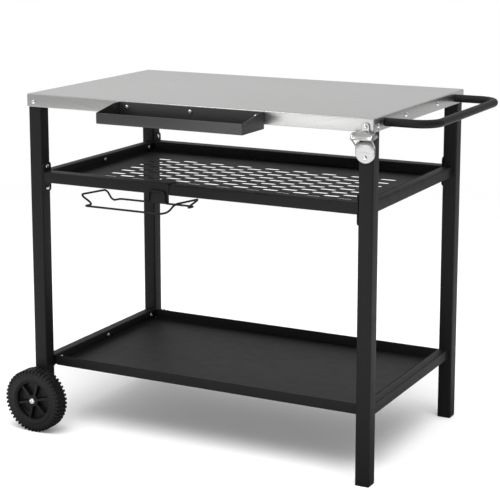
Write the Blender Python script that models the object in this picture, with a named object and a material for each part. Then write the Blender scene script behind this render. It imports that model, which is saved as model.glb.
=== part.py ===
"""Grill cart: stainless top on four square legs, two shelves, tray, handle, opener, bag holder, two wheels.

The cart is built in its own frame: X runs along the top, Y from front to rear, Z up from the floor.
X = 0 and Y = 0 are the middle of the top. The last step moves everything so that the origin is at
the middle of the whole cart's box, on the floor. All sizes are in metres.
"""
import bpy
import bmesh
from math import cos, pi, radians, sin, tan
from mathutils import Matrix, Vector

# Fits
GAP = 0.0003                 # between two pieces that touch or are screwed together
RUNNING_GAP = 0.0001         # around a shaft that turns

# Tabletop
TOP_LENGTH = 0.865
TOP_DEPTH = 0.540
TOP_HEIGHT = 0.800
TOP_SHEET = 0.0010
APRON_HEIGHT = 0.030
APRON_BEND = 0.003
HEM_HEIGHT = 0.008
HEM_THICKNESS = 0.0024
STIFFENER_WIDTH = 0.060
STIFFENER_DEPTH = 0.014

# Legs
LEG_WIDTH = 0.033
LEG_WALL = 0.0015
LEG_CORNER = 0.0035
LEG_PLUG_LENGTH = 0.016
FOOT_THICKNESS = 0.005
FOOT_BEVEL = 0.001
AXLE_LEG_CAP = 0.003
LEG_BELOW_AXLE = 0.028       # the legs at the wheels end this far below the axle

# Side rails, front to rear between the legs
SIDE_RAIL_WIDTH = 0.0225
SIDE_RAIL_HEIGHT = 0.025
RAIL_WALL = 0.0012
RAIL_CORNER = 0.002

# Long rails of the middle shelf, with the plates that bolt them to the legs
LONG_RAIL_DEPTH = 0.032
LONG_RAIL_HEIGHT = 0.0245
LONG_RAIL_SETBACK = 0.0013
END_PLATE_HEIGHT = 0.070
END_PLATE_THICKNESS = 0.0025
END_PLATE_CORNER = 0.009
END_PLATE_DROP = 0.0015      # middle of the plate below the middle of the rail
END_PLATE_SCREW_EDGE = 0.0095
VENT_X = 0.300               # vent holes in the underside of the long rails
VENT_RADIUS = 0.003

# Shelves
MIDDLE_SHELF_HEIGHT = 0.594
BOTTOM_SHELF_HEIGHT = 0.147
SIDE_RAIL_DROP = 0.001       # underside of the middle side rails below the middle shelf
BOTTOM_RAIL_DROP = 0.001
SHELF_SHEET = 0.0012
SHELF_WALL_HEIGHT = 0.024
SLOT_LENGTH = 0.040
SLOT_WIDTH = 0.015
SLOT_COLUMN_PITCH = 0.0378
SLOT_ROW_PITCH = 0.043
SLOT_SIDE_MARGIN = 0.077
SLOT_END_MARGIN = 0.100

# Seasoning tray on the front of the top
TRAY_LENGTH = 0.360
TRAY_DEPTH = 0.100
TRAY_FLOOR_DROP = 0.040      # underside of the tray below the worktop
TRAY_BACK_HEIGHT = 0.037
TRAY_FRONT_HEIGHT = 0.024
TRAY_LEVEL_EDGE = 0.025
TRAY_SHEET = 0.0012
TRAY_SCREW_INSET = 0.019     # outer screws, from the ends of the tray

# Screws
SCREW_HEAD_RADIUS = 0.0050
SCREW_HEAD_HEIGHT = 0.0030
SCREW_RADIUS = 0.0020
SCREW_LENGTH = 0.0085
SCREW_DROP = 0.018           # apron screws below the worktop
TRAY_SCREW_DROP = 0.014

# Push handle on the right end
HANDLE_RADIUS = 0.009
HANDLE_WALL = 0.0012
HANDLE_INSET = 0.060         # arms, from the front and rear edges of the top
HANDLE_REACH = 0.107         # from the end apron to the middle of the bar
HANDLE_BEND = 0.045
HANDLE_DROP = 0.015
INSERT_LENGTH = 0.022
HANDLE_BOLT_RADIUS = 0.003
HANDLE_BOLT_HEAD_RADIUS = 0.0055
HANDLE_BOLT_HEAD_HEIGHT = 0.004
HANDLE_BOLT_GRIP = 0.016

# Bottle opener on the front right leg
OPENER_HALF_WIDTH = 0.0215
OPENER_HOOD_HALF_WIDTH = 0.0275
OPENER_TAB_HALF_WIDTH = 0.0125
OPENER_TOP_DROP = 0.010
OPENER_HEIGHT = 0.085
OPENER_TAB_HEIGHT = 0.015
OPENER_HOOD_HEIGHT = 0.018   # from the tab down to the mouth
OPENER_LIP_HEIGHT = 0.015    # from the mouth down to where the lip has run out
OPENER_END_HEIGHT = 0.013    # the rounded end of the lower plate
OPENER_TAB_ROUND = 0.002
OPENER_CAVITY = 0.008        # the mouth's height inside the hood, above its rim
OPENER_HOOD_REACH = 0.024
OPENER_LIP_REACH = 0.015
OPENER_PLATE = 0.0035
OPENER_MOUTH_HEIGHT = 0.012
OPENER_MOUTH_HALF_WIDTH = 0.0185
OPENER_LOW_SCREW_RISE = 0.012

# Bag holder hung on the middle shelf's front rail
BAG_WIRE_RADIUS = 0.00225
BAG_CENTRE_X = -0.088
BAG_HALF_WIDTH = 0.095
BAG_REACH = 0.144
BAG_DROP = 0.018             # back wire below the underside of the rail
BAG_TILT = 0.010             # front wire above the back wire
BAG_EAR_JOG = 0.032
BAG_EAR_FLARE = 0.013
BAG_EAR_WIDTH = 0.024
BAG_EAR_RISE = 0.021
BAG_BEND = 0.007
BAG_LOOP_HALF_WIDTH = 0.0205
BAG_LOOP_RISE = 0.026
HOOK_WIDTH = 0.059
HOOK_SHEET = 0.0015
HOOK_LIP = 0.012

# Wheels
WHEEL_RADIUS = 0.075
WHEEL_WIDTH = 0.038
TREAD_DEPTH = 0.003
LUG_COUNT = 46
SHOULDER = 0.006
LUG_EDGE = 0.14              # shares of the wheel's width where the lugs and the centre rib begin
CENTRE_RIB_EDGE = 0.46
RIM_RADIUS = 0.047
RIM_WALL = 0.003
RIM_WEB = 0.0025
RIM_WEB_SETBACK = 0.016
RIM_SETBACK = 0.002          # the barrel's edges inside the tyre's side walls
SPOKE_ROOT = 0.0015          # how far the spokes run into the hub and the barrel
RIM_SPOKES = 6
SPOKE_WIDTH = 0.007
SPOKE_SETBACK = 0.004
HUB_RADIUS = 0.0135
HUB_SETBACK = 0.0035
BUSH_WALL = 0.002
AXLE_RADIUS = 0.004
AXLE_HEAD_RADIUS = 0.0075
AXLE_HEAD_HEIGHT = 0.0050
AXLE_TAIL = 0.0025
WASHER_RADIUS = 0.0095
WASHER_THICKNESS = 0.0022
NUT_RADIUS = 0.0075
NUT_HEIGHT = 0.0065

# Mesh fineness
SCREW_SIDES = 8
TUBE_SIDES = 12
BEND_STEPS = 5
RIM_SIDES = 30
WIRE_SIDES_RESOLUTION = 2
AXLE_SIDES = 20

# Looks: colour, roughness, metallic
STAINLESS = ((0.72, 0.72, 0.71), 0.28, 1.0)
GALVANISED = ((0.60, 0.61, 0.62), 0.45, 1.0)
ZINC = ((0.78, 0.78, 0.80), 0.25, 1.0)
CAST_STEEL = ((0.74, 0.74, 0.74), 0.30, 1.0)
BLACK_COAT = ((0.022, 0.022, 0.023), 0.45, 0.0)
BLACK_PLASTIC = ((0.018, 0.018, 0.018), 0.50, 0.0)
RUBBER = ((0.016, 0.016, 0.017), 0.65, 0.0)
NYLON = ((0.70, 0.69, 0.65), 0.50, 0.0)

# Places that several pieces share
LEG_X = TOP_LENGTH / 2 - HEM_THICKNESS - GAP - LEG_WIDTH / 2
LEG_Y = TOP_DEPTH / 2 - HEM_THICKNESS - GAP - LEG_WIDTH / 2
LEG_HALF = LEG_WIDTH / 2
LEG_TOP = TOP_HEIGHT - TOP_SHEET - GAP
AXLE_LEG_BOTTOM = WHEEL_RADIUS - LEG_BELOW_AXLE
APRON_FRONT_Y = -TOP_DEPTH / 2
APRON_END_X = TOP_LENGTH / 2
LEG_FACE_Y = LEG_Y + LEG_HALF
SIDE_RAIL_X = LEG_X - LEG_HALF + SIDE_RAIL_WIDTH / 2
SIDE_RAIL_HALF_LENGTH = LEG_Y - LEG_HALF - GAP
TOP_RAIL_X = LEG_X + LEG_HALF - SIDE_RAIL_WIDTH / 2
TOP_RAIL_BOTTOM = LEG_TOP - SIDE_RAIL_HEIGHT
MIDDLE_SIDE_RAIL_BOTTOM = MIDDLE_SHELF_HEIGHT - SIDE_RAIL_DROP
BOTTOM_SIDE_RAIL_BOTTOM = BOTTOM_SHELF_HEIGHT - BOTTOM_RAIL_DROP
PLATE_X = LEG_X - LEG_HALF - GAP - END_PLATE_THICKNESS / 2
LONG_RAIL_Y = LEG_FACE_Y - LONG_RAIL_SETBACK - LONG_RAIL_DEPTH / 2
LONG_RAIL_TOP = MIDDLE_SHELF_HEIGHT + LONG_RAIL_HEIGHT
PLATE_MIDDLE = MIDDLE_SHELF_HEIGHT + LONG_RAIL_HEIGHT / 2 - END_PLATE_DROP
SHELF_HALF_LENGTH = LEG_X - LEG_HALF - GAP
SHELF_HALF_DEPTH = LONG_RAIL_Y - LONG_RAIL_DEPTH / 2 - GAP
WHEEL_INNER_Y = LEG_FACE_Y + GAP + WASHER_THICKNESS + GAP
HUB_FACE_Y = WHEEL_INNER_Y + WHEEL_WIDTH - HUB_SETBACK
BUSH_BORE = (AXLE_RADIUS + RUNNING_GAP) / cos(pi / AXLE_SIDES)
OPENER_X = LEG_X
OPENER_BACK_Y = APRON_FRONT_Y - GAP
OPENER_TOP = TOP_HEIGHT - OPENER_TOP_DROP
OPENER_BOTTOM = OPENER_TOP - OPENER_HEIGHT
HANDLE_Y = TOP_DEPTH / 2 - HANDLE_INSET
HANDLE_Z = TOP_HEIGHT - HANDLE_DROP
HOOK_FRONT_Y = -LONG_RAIL_Y - LONG_RAIL_DEPTH / 2 - GAP - HOOK_SHEET
HOOK_REAR_Y = -SHELF_HALF_DEPTH + SHELF_SHEET + GAP + HOOK_SHEET
HOOK_BOTTOM = MIDDLE_SHELF_HEIGHT - BAG_DROP - BAG_WIRE_RADIUS
BAG_BACK_Y = HOOK_FRONT_Y - GAP - BAG_WIRE_RADIUS


def clear_scene():
    for obj in list(bpy.data.objects):
        bpy.data.objects.remove(obj, do_unlink=True)


def make_material(name, colour, roughness, metallic):
    material = bpy.data.materials.new(name)
    material.use_nodes = True
    shader = material.node_tree.nodes["Principled BSDF"]
    shader.inputs["Base Color"].default_value = (*colour, 1.0)
    shader.inputs["Roughness"].default_value = roughness
    shader.inputs["Metallic"].default_value = metallic
    return material


def add_object(name, bm, look, origin=(0, 0, 0), smooth=False):
    """Make one object from a bmesh that is in the cart's frame. origin is where its pivot sits."""
    origin = Vector(origin)
    bmesh.ops.translate(bm, verts=bm.verts, vec=-origin)
    bmesh.ops.recalc_face_normals(bm, faces=bm.faces)
    mesh = bpy.data.meshes.new(name)
    bm.to_mesh(mesh)
    bm.free()
    if smooth:
        mesh.shade_smooth()
        mesh.set_sharp_from_angle(angle=radians(35))
    colour, roughness, metallic = look
    mesh.materials.append(make_material(name, colour, roughness, metallic))
    obj = bpy.data.objects.new(name, mesh)
    obj.location = origin
    bpy.context.scene.collection.objects.link(obj)
    return obj


def combine(obj, tool, operation):
    """Cut a bmesh tool, in the cart's frame, from an object, or join it, and keep the result."""
    mesh = bpy.data.meshes.new("tool")
    bmesh.ops.recalc_face_normals(tool, faces=tool.faces)
    tool.to_mesh(mesh)
    tool.free()
    helper = bpy.data.objects.new("tool", mesh)
    helper.hide_render = True
    helper.display_type = "WIRE"
    bpy.context.scene.collection.objects.link(helper)
    modifier = obj.modifiers.new("combine", "BOOLEAN")
    modifier.object = helper
    modifier.operation = operation
    modifier.solver = "EXACT"
    bpy.context.view_layer.update()
    graph = bpy.context.evaluated_depsgraph_get()
    result = bpy.data.meshes.new_from_object(obj.evaluated_get(graph), depsgraph=graph)
    obj.modifiers.clear()
    old = obj.data
    result.name = obj.name
    obj.data = result
    bpy.data.meshes.remove(old)
    bpy.data.objects.remove(helper, do_unlink=True)
    bpy.data.meshes.remove(mesh)


def add_box(bm, x0, x1, y0, y1, z0, z1):
    centre = Vector(((x0 + x1) / 2, (y0 + y1) / 2, (z0 + z1) / 2))
    size = Matrix.Diagonal((x1 - x0, y1 - y0, z1 - z0, 1.0))
    return bmesh.ops.create_cube(bm, size=1.0, matrix=Matrix.Translation(centre) @ size)["verts"]


def loft(bm, rings, closed=False):
    """Skin a list of equal rings of points. An open stack of rings gets a flat cap at each end."""
    loops = [[bm.verts.new(point) for point in ring] for ring in rings]
    count = len(loops[0])
    pairs = list(zip(loops, loops[1:]))
    if closed:
        pairs.append((loops[-1], loops[0]))
    for low, high in pairs:
        for i in range(count):
            j = (i + 1) % count
            bm.faces.new((low[i], low[j], high[j], high[i]))
    if not closed:
        bm.faces.new(loops[0])
        bm.faces.new(loops[-1])


def frame_for(axis):
    """Rotation that takes local Z onto the axis."""
    return Vector((0, 0, 1)).rotation_difference(Vector(axis)).to_matrix()


def add_turned(bm, profile, base, axis, sides, start=0.0):
    """Turn a profile of (radius, height) about an axis. Radius 0 at both ends makes a solid pin."""
    turn = frame_for(axis)
    base = Vector(base)
    rings = []
    tips = []
    for radius, height in profile:
        if radius == 0:
            tips.append(bm.verts.new(base + turn @ Vector((0, 0, height))))
            rings.append(None)
            continue
        angles = [start + 2 * pi * i / sides for i in range(sides)]
        points = [Vector((radius * cos(a), radius * sin(a), height)) for a in angles]
        rings.append([bm.verts.new(base + turn @ p) for p in points])
    solid = [ring for ring in rings if ring]
    hollow = rings[0] is not None
    pairs = list(zip(solid, solid[1:]))
    if hollow:
        pairs.append((solid[-1], solid[0]))
    for low, high in pairs:
        for i in range(sides):
            j = (i + 1) % sides
            bm.faces.new((low[i], low[j], high[j], high[i]))
    if not hollow:
        for tip, ring in zip(tips, (solid[0], solid[-1])):
            for i in range(sides):
                bm.faces.new((tip, ring[i], ring[(i + 1) % sides]))


def add_pin(bm, radius, base, axis, length, sides):
    add_turned(bm, [(0, 0), (radius, 0), (radius, length), (0, length)], base, axis, sides, pi / sides)


def add_ring(bm, inner, outer, base, axis, length, sides):
    profile = [(inner, 0), (outer, 0), (outer, length), (inner, length)]
    add_turned(bm, profile, base, axis, sides, pi / sides)


def add_nut(bm, bore, base, axis):
    """Hexagon nut with a round bore."""
    turn = frame_for(axis)
    rings = []
    for hexagon, height in ((True, 0), (True, NUT_HEIGHT), (False, NUT_HEIGHT), (False, 0)):
        ring = []
        for i in range(12):
            flat = NUT_RADIUS * (1 if i % 2 else cos(pi / 6))
            radius = flat if hexagon else bore / cos(pi / 12)
            point = Vector((radius * cos(pi / 6 * i), radius * sin(pi / 6 * i), height))
            ring.append(Vector(base) + turn @ point)
        rings.append(ring)
    loft(bm, rings, closed=True)


def add_screw(bm, seat, axis):
    """Pan-head screw. seat is the point on the sheet under its head, axis points out of the head."""
    base = Vector(seat) + Vector(axis) * GAP
    profile = [
        (0, SCREW_HEAD_HEIGHT),
        (SCREW_HEAD_RADIUS * 0.62, SCREW_HEAD_HEIGHT * 0.92),
        (SCREW_HEAD_RADIUS, SCREW_HEAD_HEIGHT * 0.35),
        (SCREW_HEAD_RADIUS, 0),
        (SCREW_RADIUS, 0),
        (SCREW_RADIUS, -SCREW_LENGTH),
        (0, -SCREW_LENGTH),
    ]
    add_turned(bm, profile, base, axis, SCREW_SIDES, pi / SCREW_SIDES)


def add_screw_hole(bm, seat, axis):
    """Round hole tool that clears a screw's shank from just above its seat to past its tip."""
    axis = Vector(axis)
    base = Vector(seat) + axis * SCREW_HEAD_HEIGHT
    length = SCREW_HEAD_HEIGHT + SCREW_LENGTH + 4 * GAP
    add_pin(bm, SCREW_RADIUS + GAP, base, -axis, length, SCREW_SIDES)


def rounded_rectangle(width, height, corner, steps):
    """Points of a rectangle with round corners, about its centre."""
    points = []
    for quarter in range(4):
        sx = (1, -1, -1, 1)[quarter]
        sy = (1, 1, -1, -1)[quarter]
        for i in range(steps + 1):
            angle = pi / 2 * (quarter + i / steps)
            x = sx * (width / 2 - corner) + corner * cos(angle)
            y = sy * (height / 2 - corner) + corner * sin(angle)
            points.append((x, y))
    return points


def add_square_tube(bm, centre, axis, length, width, height, wall, corner):
    """Tube of rectangular section along +X, +Y or +Z from centre. width and height are its section."""
    def place(u, v, along):
        if axis == "x":
            return Vector(centre) + Vector((along, u, v))
        if axis == "y":
            return Vector(centre) + Vector((u, along, v))
        return Vector(centre) + Vector((u, v, along))

    outer = rounded_rectangle(width, height, corner, 2)
    inner = rounded_rectangle(width - 2 * wall, height - 2 * wall, max(corner - wall, corner / 4), 2)
    rings = [
        [place(u, v, 0) for u, v in outer],
        [place(u, v, length) for u, v in outer],
        [place(u, v, length) for u, v in inner],
        [place(u, v, 0) for u, v in inner],
    ]
    loft(bm, rings, closed=True)


def leg_centre(side, end):
    """side is -1 for the wheel end and +1 for the handle end, end is -1 for front and +1 for rear."""
    return side * LEG_X, end * LEG_Y


SIDE_WORDS = {-1: "left", 1: "right"}
END_WORDS = {-1: "front", 1: "rear"}


def apron_screws():
    """(name, seat, axis) of each apron screw. The opener's top screw takes the place of one of them."""
    z = TOP_HEIGHT - SCREW_DROP
    screws = []
    for side in (-1, 1):
        for end in (-1, 1):
            x, y = leg_centre(side, end)
            words = f"{END_WORDS[end]}_{SIDE_WORDS[side]}"
            if (side, end) != (1, -1):
                screws.append((f"apron_screw_{words}", (x, end * TOP_DEPTH / 2, z), (0, end, 0)))
            screws.append((f"end_apron_screw_{words}", (side * TOP_LENGTH / 2, y, z), (side, 0, 0)))
    return screws


def tray_screws():
    z = TOP_HEIGHT - TRAY_SCREW_DROP
    face = APRON_FRONT_Y - GAP - TRAY_SHEET
    reach = TRAY_LENGTH / 2 - TRAY_SCREW_INSET
    places = {"left": -reach, "middle": 0, "right": reach}
    return [(f"tray_screw_{word}", (x, face, z), (0, -1, 0)) for word, x in places.items()]


def opener_screws():
    places = {"top": TOP_HEIGHT - SCREW_DROP, "low": OPENER_BOTTOM + OPENER_LOW_SCREW_RISE}
    face = OPENER_BACK_Y - OPENER_PLATE
    return [(f"opener_screw_{word}", (OPENER_X, face, z), (0, -1, 0)) for word, z in places.items()]


def end_plate_screws():
    face = PLATE_X - END_PLATE_THICKNESS / 2
    reach = END_PLATE_HEIGHT / 2 - END_PLATE_SCREW_EDGE
    screws = []
    for side in (-1, 1):
        for end in (-1, 1):
            for step, word in ((-reach, "low"), (reach, "high")):
                name = f"frame_screw_{END_WORDS[end]}_{SIDE_WORDS[side]}_{word}"
                screws.append((name, (side * face, end * LEG_Y, PLATE_MIDDLE + step), (-side, 0, 0)))
    return screws


def handle_bolt_seats():
    """Seats on the inner face of the top side rail, facing the middle of the cart."""
    x = TOP_RAIL_X - SIDE_RAIL_WIDTH / 2
    return [(f"handle_bolt_{END_WORDS[end]}", (x, end * HANDLE_Y, HANDLE_Z), (-1, 0, 0))
            for end in (-1, 1)]


def drill(obj, screws):
    tool = bmesh.new()
    for _, seat, axis in screws:
        add_screw_hole(tool, seat, axis)
    combine(obj, tool, "DIFFERENCE")


def drill_for_handle(obj):
    tool = bmesh.new()
    for _, seat, axis in handle_bolt_seats():
        start = Vector(seat) + Vector(axis) * GAP
        length = APRON_END_X - seat[0] + 4 * GAP
        add_pin(tool, HANDLE_BOLT_RADIUS + GAP, start, (1, 0, 0), length, SCREW_SIDES)
    combine(obj, tool, "DIFFERENCE")


def build_tabletop():
    """Folded pan: flat top, aprons on all four sides and a hem along their lower edge."""
    bm = bmesh.new()
    half_x = TOP_LENGTH / 2
    half_y = TOP_DEPTH / 2
    low = TOP_HEIGHT - APRON_HEIGHT
    bend = APRON_BEND
    rings = []
    heights = [(low, 0.0)]
    for i in range(4):
        angle = pi / 2 * i / 3
        heights.append((TOP_HEIGHT - bend + bend * sin(angle), bend * (1 - cos(angle))))
    for z, inset in heights:
        corner = max(bend - inset, bend / 4)
        outline = rounded_rectangle(2 * (half_x - inset), 2 * (half_y - inset), corner, 2)
        rings.append([(x, y, z) for x, y in outline])
    loft(bm, rings)
    top = add_object("tabletop", bm, STAINLESS, (0, 0, TOP_HEIGHT), smooth=True)

    def hollow(wall, z0, z1):
        tool = bmesh.new()
        add_box(tool, -half_x + wall, half_x - wall, -half_y + wall, half_y - wall, z0, z1)
        combine(top, tool, "DIFFERENCE")

    hollow(HEM_THICKNESS, low - bend, low + HEM_HEIGHT)
    hollow(TOP_SHEET, low + HEM_HEIGHT, TOP_HEIGHT - TOP_SHEET)
    drill(top, apron_screws() + tray_screws() + opener_screws()[:1])
    drill_for_handle(top)


def build_stiffener():
    """Channel under the top, from one top side rail to the other."""
    bm = bmesh.new()
    half_x = TOP_RAIL_X - SIDE_RAIL_WIDTH / 2 - GAP
    half_y = STIFFENER_WIDTH / 2
    low = LEG_TOP - STIFFENER_DEPTH
    section = [
        (-half_y, LEG_TOP), (-half_y, low), (half_y, low), (half_y, LEG_TOP),
        (half_y - RAIL_WALL, LEG_TOP), (half_y - RAIL_WALL, low + RAIL_WALL),
        (-half_y + RAIL_WALL, low + RAIL_WALL), (-half_y + RAIL_WALL, LEG_TOP),
    ]
    loft(bm, [[(x, y, z) for y, z in section] for x in (-half_x, half_x)])
    add_object("top_stiffener", bm, GALVANISED, (0, 0, LEG_TOP))


def screws_into(side, end):
    """The screws whose shanks enter the wall of one leg."""
    x, y = leg_centre(side, end)
    return [s for s in apron_screws() + end_plate_screws() + opener_screws()
            if abs(s[1][0] - x) < LEG_WIDTH and abs(s[1][1] - y) < LEG_WIDTH]


def build_legs():
    for side, end in ((-1, -1), (1, -1), (-1, 1), (1, 1)):
        name = f"{END_WORDS[end]}_{SIDE_WORDS[side]}_leg"
        x, y = leg_centre(side, end)
        bottom = AXLE_LEG_BOTTOM + AXLE_LEG_CAP + GAP if side < 0 else FOOT_THICKNESS + GAP
        bm = bmesh.new()
        add_square_tube(bm, (x, y, bottom), "z", LEG_TOP - bottom, LEG_WIDTH, LEG_WIDTH, LEG_WALL, LEG_CORNER)
        leg = add_object(name, bm, BLACK_COAT, (x, y, bottom), smooth=True)
        drill(leg, screws_into(side, end))
        if side < 0:
            tool = bmesh.new()
            start = (x, y - LEG_WIDTH, WHEEL_RADIUS)
            add_pin(tool, AXLE_RADIUS + GAP, start, (0, 1, 0), 2 * LEG_WIDTH, SCREW_SIDES * 2)
            combine(leg, tool, "DIFFERENCE")


def build_leg_plugs():
    """Plastic feet under the handle end's legs, and end caps in the shorter legs by the wheels."""
    inside = LEG_HALF - LEG_WALL - GAP
    for side, kind, bottom, thickness in ((1, "foot", 0.0, FOOT_THICKNESS),
                                          (-1, "leg_cap", AXLE_LEG_BOTTOM, AXLE_LEG_CAP)):
        steps = [(0.0, LEG_HALF - FOOT_BEVEL), (FOOT_BEVEL, LEG_HALF), (thickness, LEG_HALF),
                 (thickness, inside), (LEG_PLUG_LENGTH, inside)]
        for end in (-1, 1):
            x, y = leg_centre(side, end)
            rings = []
            for rise, half in steps:
                outline = rounded_rectangle(2 * half, 2 * half, LEG_CORNER - LEG_WALL, 2)
                rings.append([(x + u, y + v, bottom + rise) for u, v in outline])
            bm = bmesh.new()
            loft(bm, rings)
            name = f"{END_WORDS[end]}_{SIDE_WORDS[side]}_{kind}"
            add_object(name, bm, BLACK_PLASTIC, (x, y, bottom), smooth=True)


def build_side_rails():
    """Rails that tie the front legs to the rear legs, under the top and at both shelves."""
    plans = [("top", TOP_RAIL_X, TOP_RAIL_BOTTOM), ("middle", SIDE_RAIL_X, MIDDLE_SIDE_RAIL_BOTTOM),
             ("bottom", SIDE_RAIL_X, BOTTOM_SIDE_RAIL_BOTTOM)]
    for level, x, bottom in plans:
        for side in (-1, 1):
            bm = bmesh.new()
            centre = (side * x, -SIDE_RAIL_HALF_LENGTH, bottom + SIDE_RAIL_HEIGHT / 2)
            add_square_tube(bm, centre, "y", 2 * SIDE_RAIL_HALF_LENGTH, SIDE_RAIL_WIDTH, SIDE_RAIL_HEIGHT,
                            RAIL_WALL, RAIL_CORNER)
            rail = add_object(f"{level}_{SIDE_WORDS[side]}_rail", bm, BLACK_COAT, centre, smooth=True)
            if level == "top" and side > 0:
                drill_for_handle(rail)


def build_long_rails():
    """Front and rear rails of the middle shelf, each with a screw plate welded on both ends."""
    half = PLATE_X - END_PLATE_THICKNESS / 4
    for end in (-1, 1):
        bm = bmesh.new()
        centre = (-half, end * LONG_RAIL_Y, MIDDLE_SHELF_HEIGHT + LONG_RAIL_HEIGHT / 2)
        add_square_tube(bm, centre, "x", 2 * half, LONG_RAIL_DEPTH, LONG_RAIL_HEIGHT, RAIL_WALL, RAIL_CORNER)
        name = f"middle_{END_WORDS[end]}_rail"
        rail = add_object(name, bm, BLACK_COAT, (0, centre[1], centre[2]), smooth=True)
        for side in (-1, 1):
            plate = bmesh.new()
            outline = rounded_rectangle(LEG_WIDTH, END_PLATE_HEIGHT, END_PLATE_CORNER, 3)
            faces = (side * (PLATE_X - END_PLATE_THICKNESS / 2), side * (PLATE_X + END_PLATE_THICKNESS / 2))
            loft(plate, [[(x, end * LEG_Y + u, PLATE_MIDDLE + v) for u, v in outline] for x in faces])
            combine(rail, plate, "UNION")
        vents = bmesh.new()
        for side in (-1, 1):
            start = (side * VENT_X, end * LONG_RAIL_Y, MIDDLE_SHELF_HEIGHT - RAIL_WALL)
            add_pin(vents, VENT_RADIUS, start, (0, 0, 1), 3 * RAIL_WALL, SCREW_SIDES)
        combine(rail, vents, "DIFFERENCE")
        drill(rail, [s for s in end_plate_screws() if s[1][1] * end > 0])


def slot_outline():
    """Long hole with rounded ends, drawn with as few points as keep its shape."""
    half = SLOT_LENGTH / 2
    width = SLOT_WIDTH / 2
    shoulder = half - width
    lower = [(-half, 0), (-shoulder, -width), (shoulder, -width)]
    return lower + [(-x, -y) for x, y in lower]


def slot_centres():
    """Staggered slots: every other column is shifted by half a row."""
    span_x = 2 * (SHELF_HALF_LENGTH - SLOT_SIDE_MARGIN) - SLOT_LENGTH
    span_y = 2 * (SHELF_HALF_DEPTH - SLOT_END_MARGIN)
    columns = 2 * int(span_x / SLOT_COLUMN_PITCH / 2 + 0.02) + 1
    rows = int(span_y / SLOT_ROW_PITCH + 0.5) + 1
    centres = []
    for column in range(columns):
        x = (column - (columns - 1) / 2) * SLOT_COLUMN_PITCH
        count = rows if column % 2 == 0 else rows - 1
        centres += [(x, (row - (count - 1) / 2) * SLOT_ROW_PITCH) for row in range(count)]
    return centres


def build_shelf(name, bottom, slotted):
    """Tray with a flat floor and low walls, screwed to the side rails through its end walls."""
    bm = bmesh.new()
    top = bottom + SHELF_WALL_HEIGHT
    add_box(bm, -SHELF_HALF_LENGTH, SHELF_HALF_LENGTH, -SHELF_HALF_DEPTH, SHELF_HALF_DEPTH, bottom, top)
    shelf = add_object(name, bm, BLACK_COAT, (0, 0, bottom))
    tool = bmesh.new()
    half_x = SHELF_HALF_LENGTH - SHELF_SHEET
    half_y = SHELF_HALF_DEPTH - SHELF_SHEET
    add_box(tool, -half_x, half_x, -half_y, half_y, bottom + SHELF_SHEET, top + SHELF_SHEET)
    combine(shelf, tool, "DIFFERENCE")
    if slotted:
        tool = bmesh.new()
        for cx, cy in slot_centres():
            levels = (bottom - SHELF_SHEET, bottom + 2 * SHELF_SHEET)
            loft(tool, [[(cx + u, cy + v, z) for u, v in slot_outline()] for z in levels])
        combine(shelf, tool, "DIFFERENCE")


def build_seasoning_tray():
    """Open tray: high back wall against the apron, side walls that slope down to a low front."""
    bottom = TOP_HEIGHT - TRAY_FLOOR_DROP
    back = APRON_FRONT_Y - GAP
    front = back - TRAY_DEPTH
    profile = [
        (back, bottom), (back, bottom + TRAY_BACK_HEIGHT),
        (back - TRAY_LEVEL_EDGE, bottom + TRAY_BACK_HEIGHT), (front, bottom + TRAY_FRONT_HEIGHT),
        (front, bottom),
    ]
    half = TRAY_LENGTH / 2
    bm = bmesh.new()
    loft(bm, [[(x, y, z) for y, z in profile] for x in (-half, half)])
    tray = add_object("seasoning_tray", bm, BLACK_COAT, (0, back, bottom))
    tool = bmesh.new()
    add_box(tool, -half + TRAY_SHEET, half - TRAY_SHEET, front + TRAY_SHEET, back - TRAY_SHEET,
            bottom + TRAY_SHEET, bottom + 2 * TRAY_BACK_HEIGHT)
    combine(tray, tool, "DIFFERENCE")
    drill(tray, tray_screws())


def handle_path():
    """Middle line of the bent tube, in the plane of the handle, from its front end to its rear end."""
    start = APRON_END_X + GAP
    bar = APRON_END_X + HANDLE_REACH
    half = HANDLE_Y
    path = [(start, -half), (start + INSERT_LENGTH, -half)]
    for i in range(BEND_STEPS + 1):
        angle = pi / 2 * i / BEND_STEPS
        path.append((bar - HANDLE_BEND + HANDLE_BEND * sin(angle), -half + HANDLE_BEND * (1 - cos(angle))))
    return path + [(x, -y) for x, y in reversed(path)]


def tube_rings(path, radius):
    """Rings of the handle's tube, square to its path."""
    rings = []
    for i, (x, y) in enumerate(path):
        before = Vector(path[max(i - 1, 0)])
        after = Vector(path[min(i + 1, len(path) - 1)])
        ahead = (after - before).normalized()
        side = Vector((ahead.y, -ahead.x, 0))
        angles = [2 * pi * (k + 0.5) / TUBE_SIDES for k in range(TUBE_SIDES)]
        rings.append([Vector((x, y, HANDLE_Z)) + side * radius * cos(a) + Vector((0, 0, radius * sin(a)))
                      for a in angles])
    return rings


def build_handle():
    """Bent tube with a threaded plug welded in each end."""
    path = handle_path()
    outer = tube_rings(path, HANDLE_RADIUS)
    inner = tube_rings(path[1:-1], HANDLE_RADIUS - HANDLE_WALL)[::-1]
    bore = tube_rings(path, HANDLE_BOLT_RADIUS + GAP)
    bm = bmesh.new()
    loft(bm, outer + [bore[-1], bore[-2]] + inner + [bore[1], bore[0]], closed=True)
    add_object("handle", bm, BLACK_COAT, (APRON_END_X, 0, HANDLE_Z), smooth=True)


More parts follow.
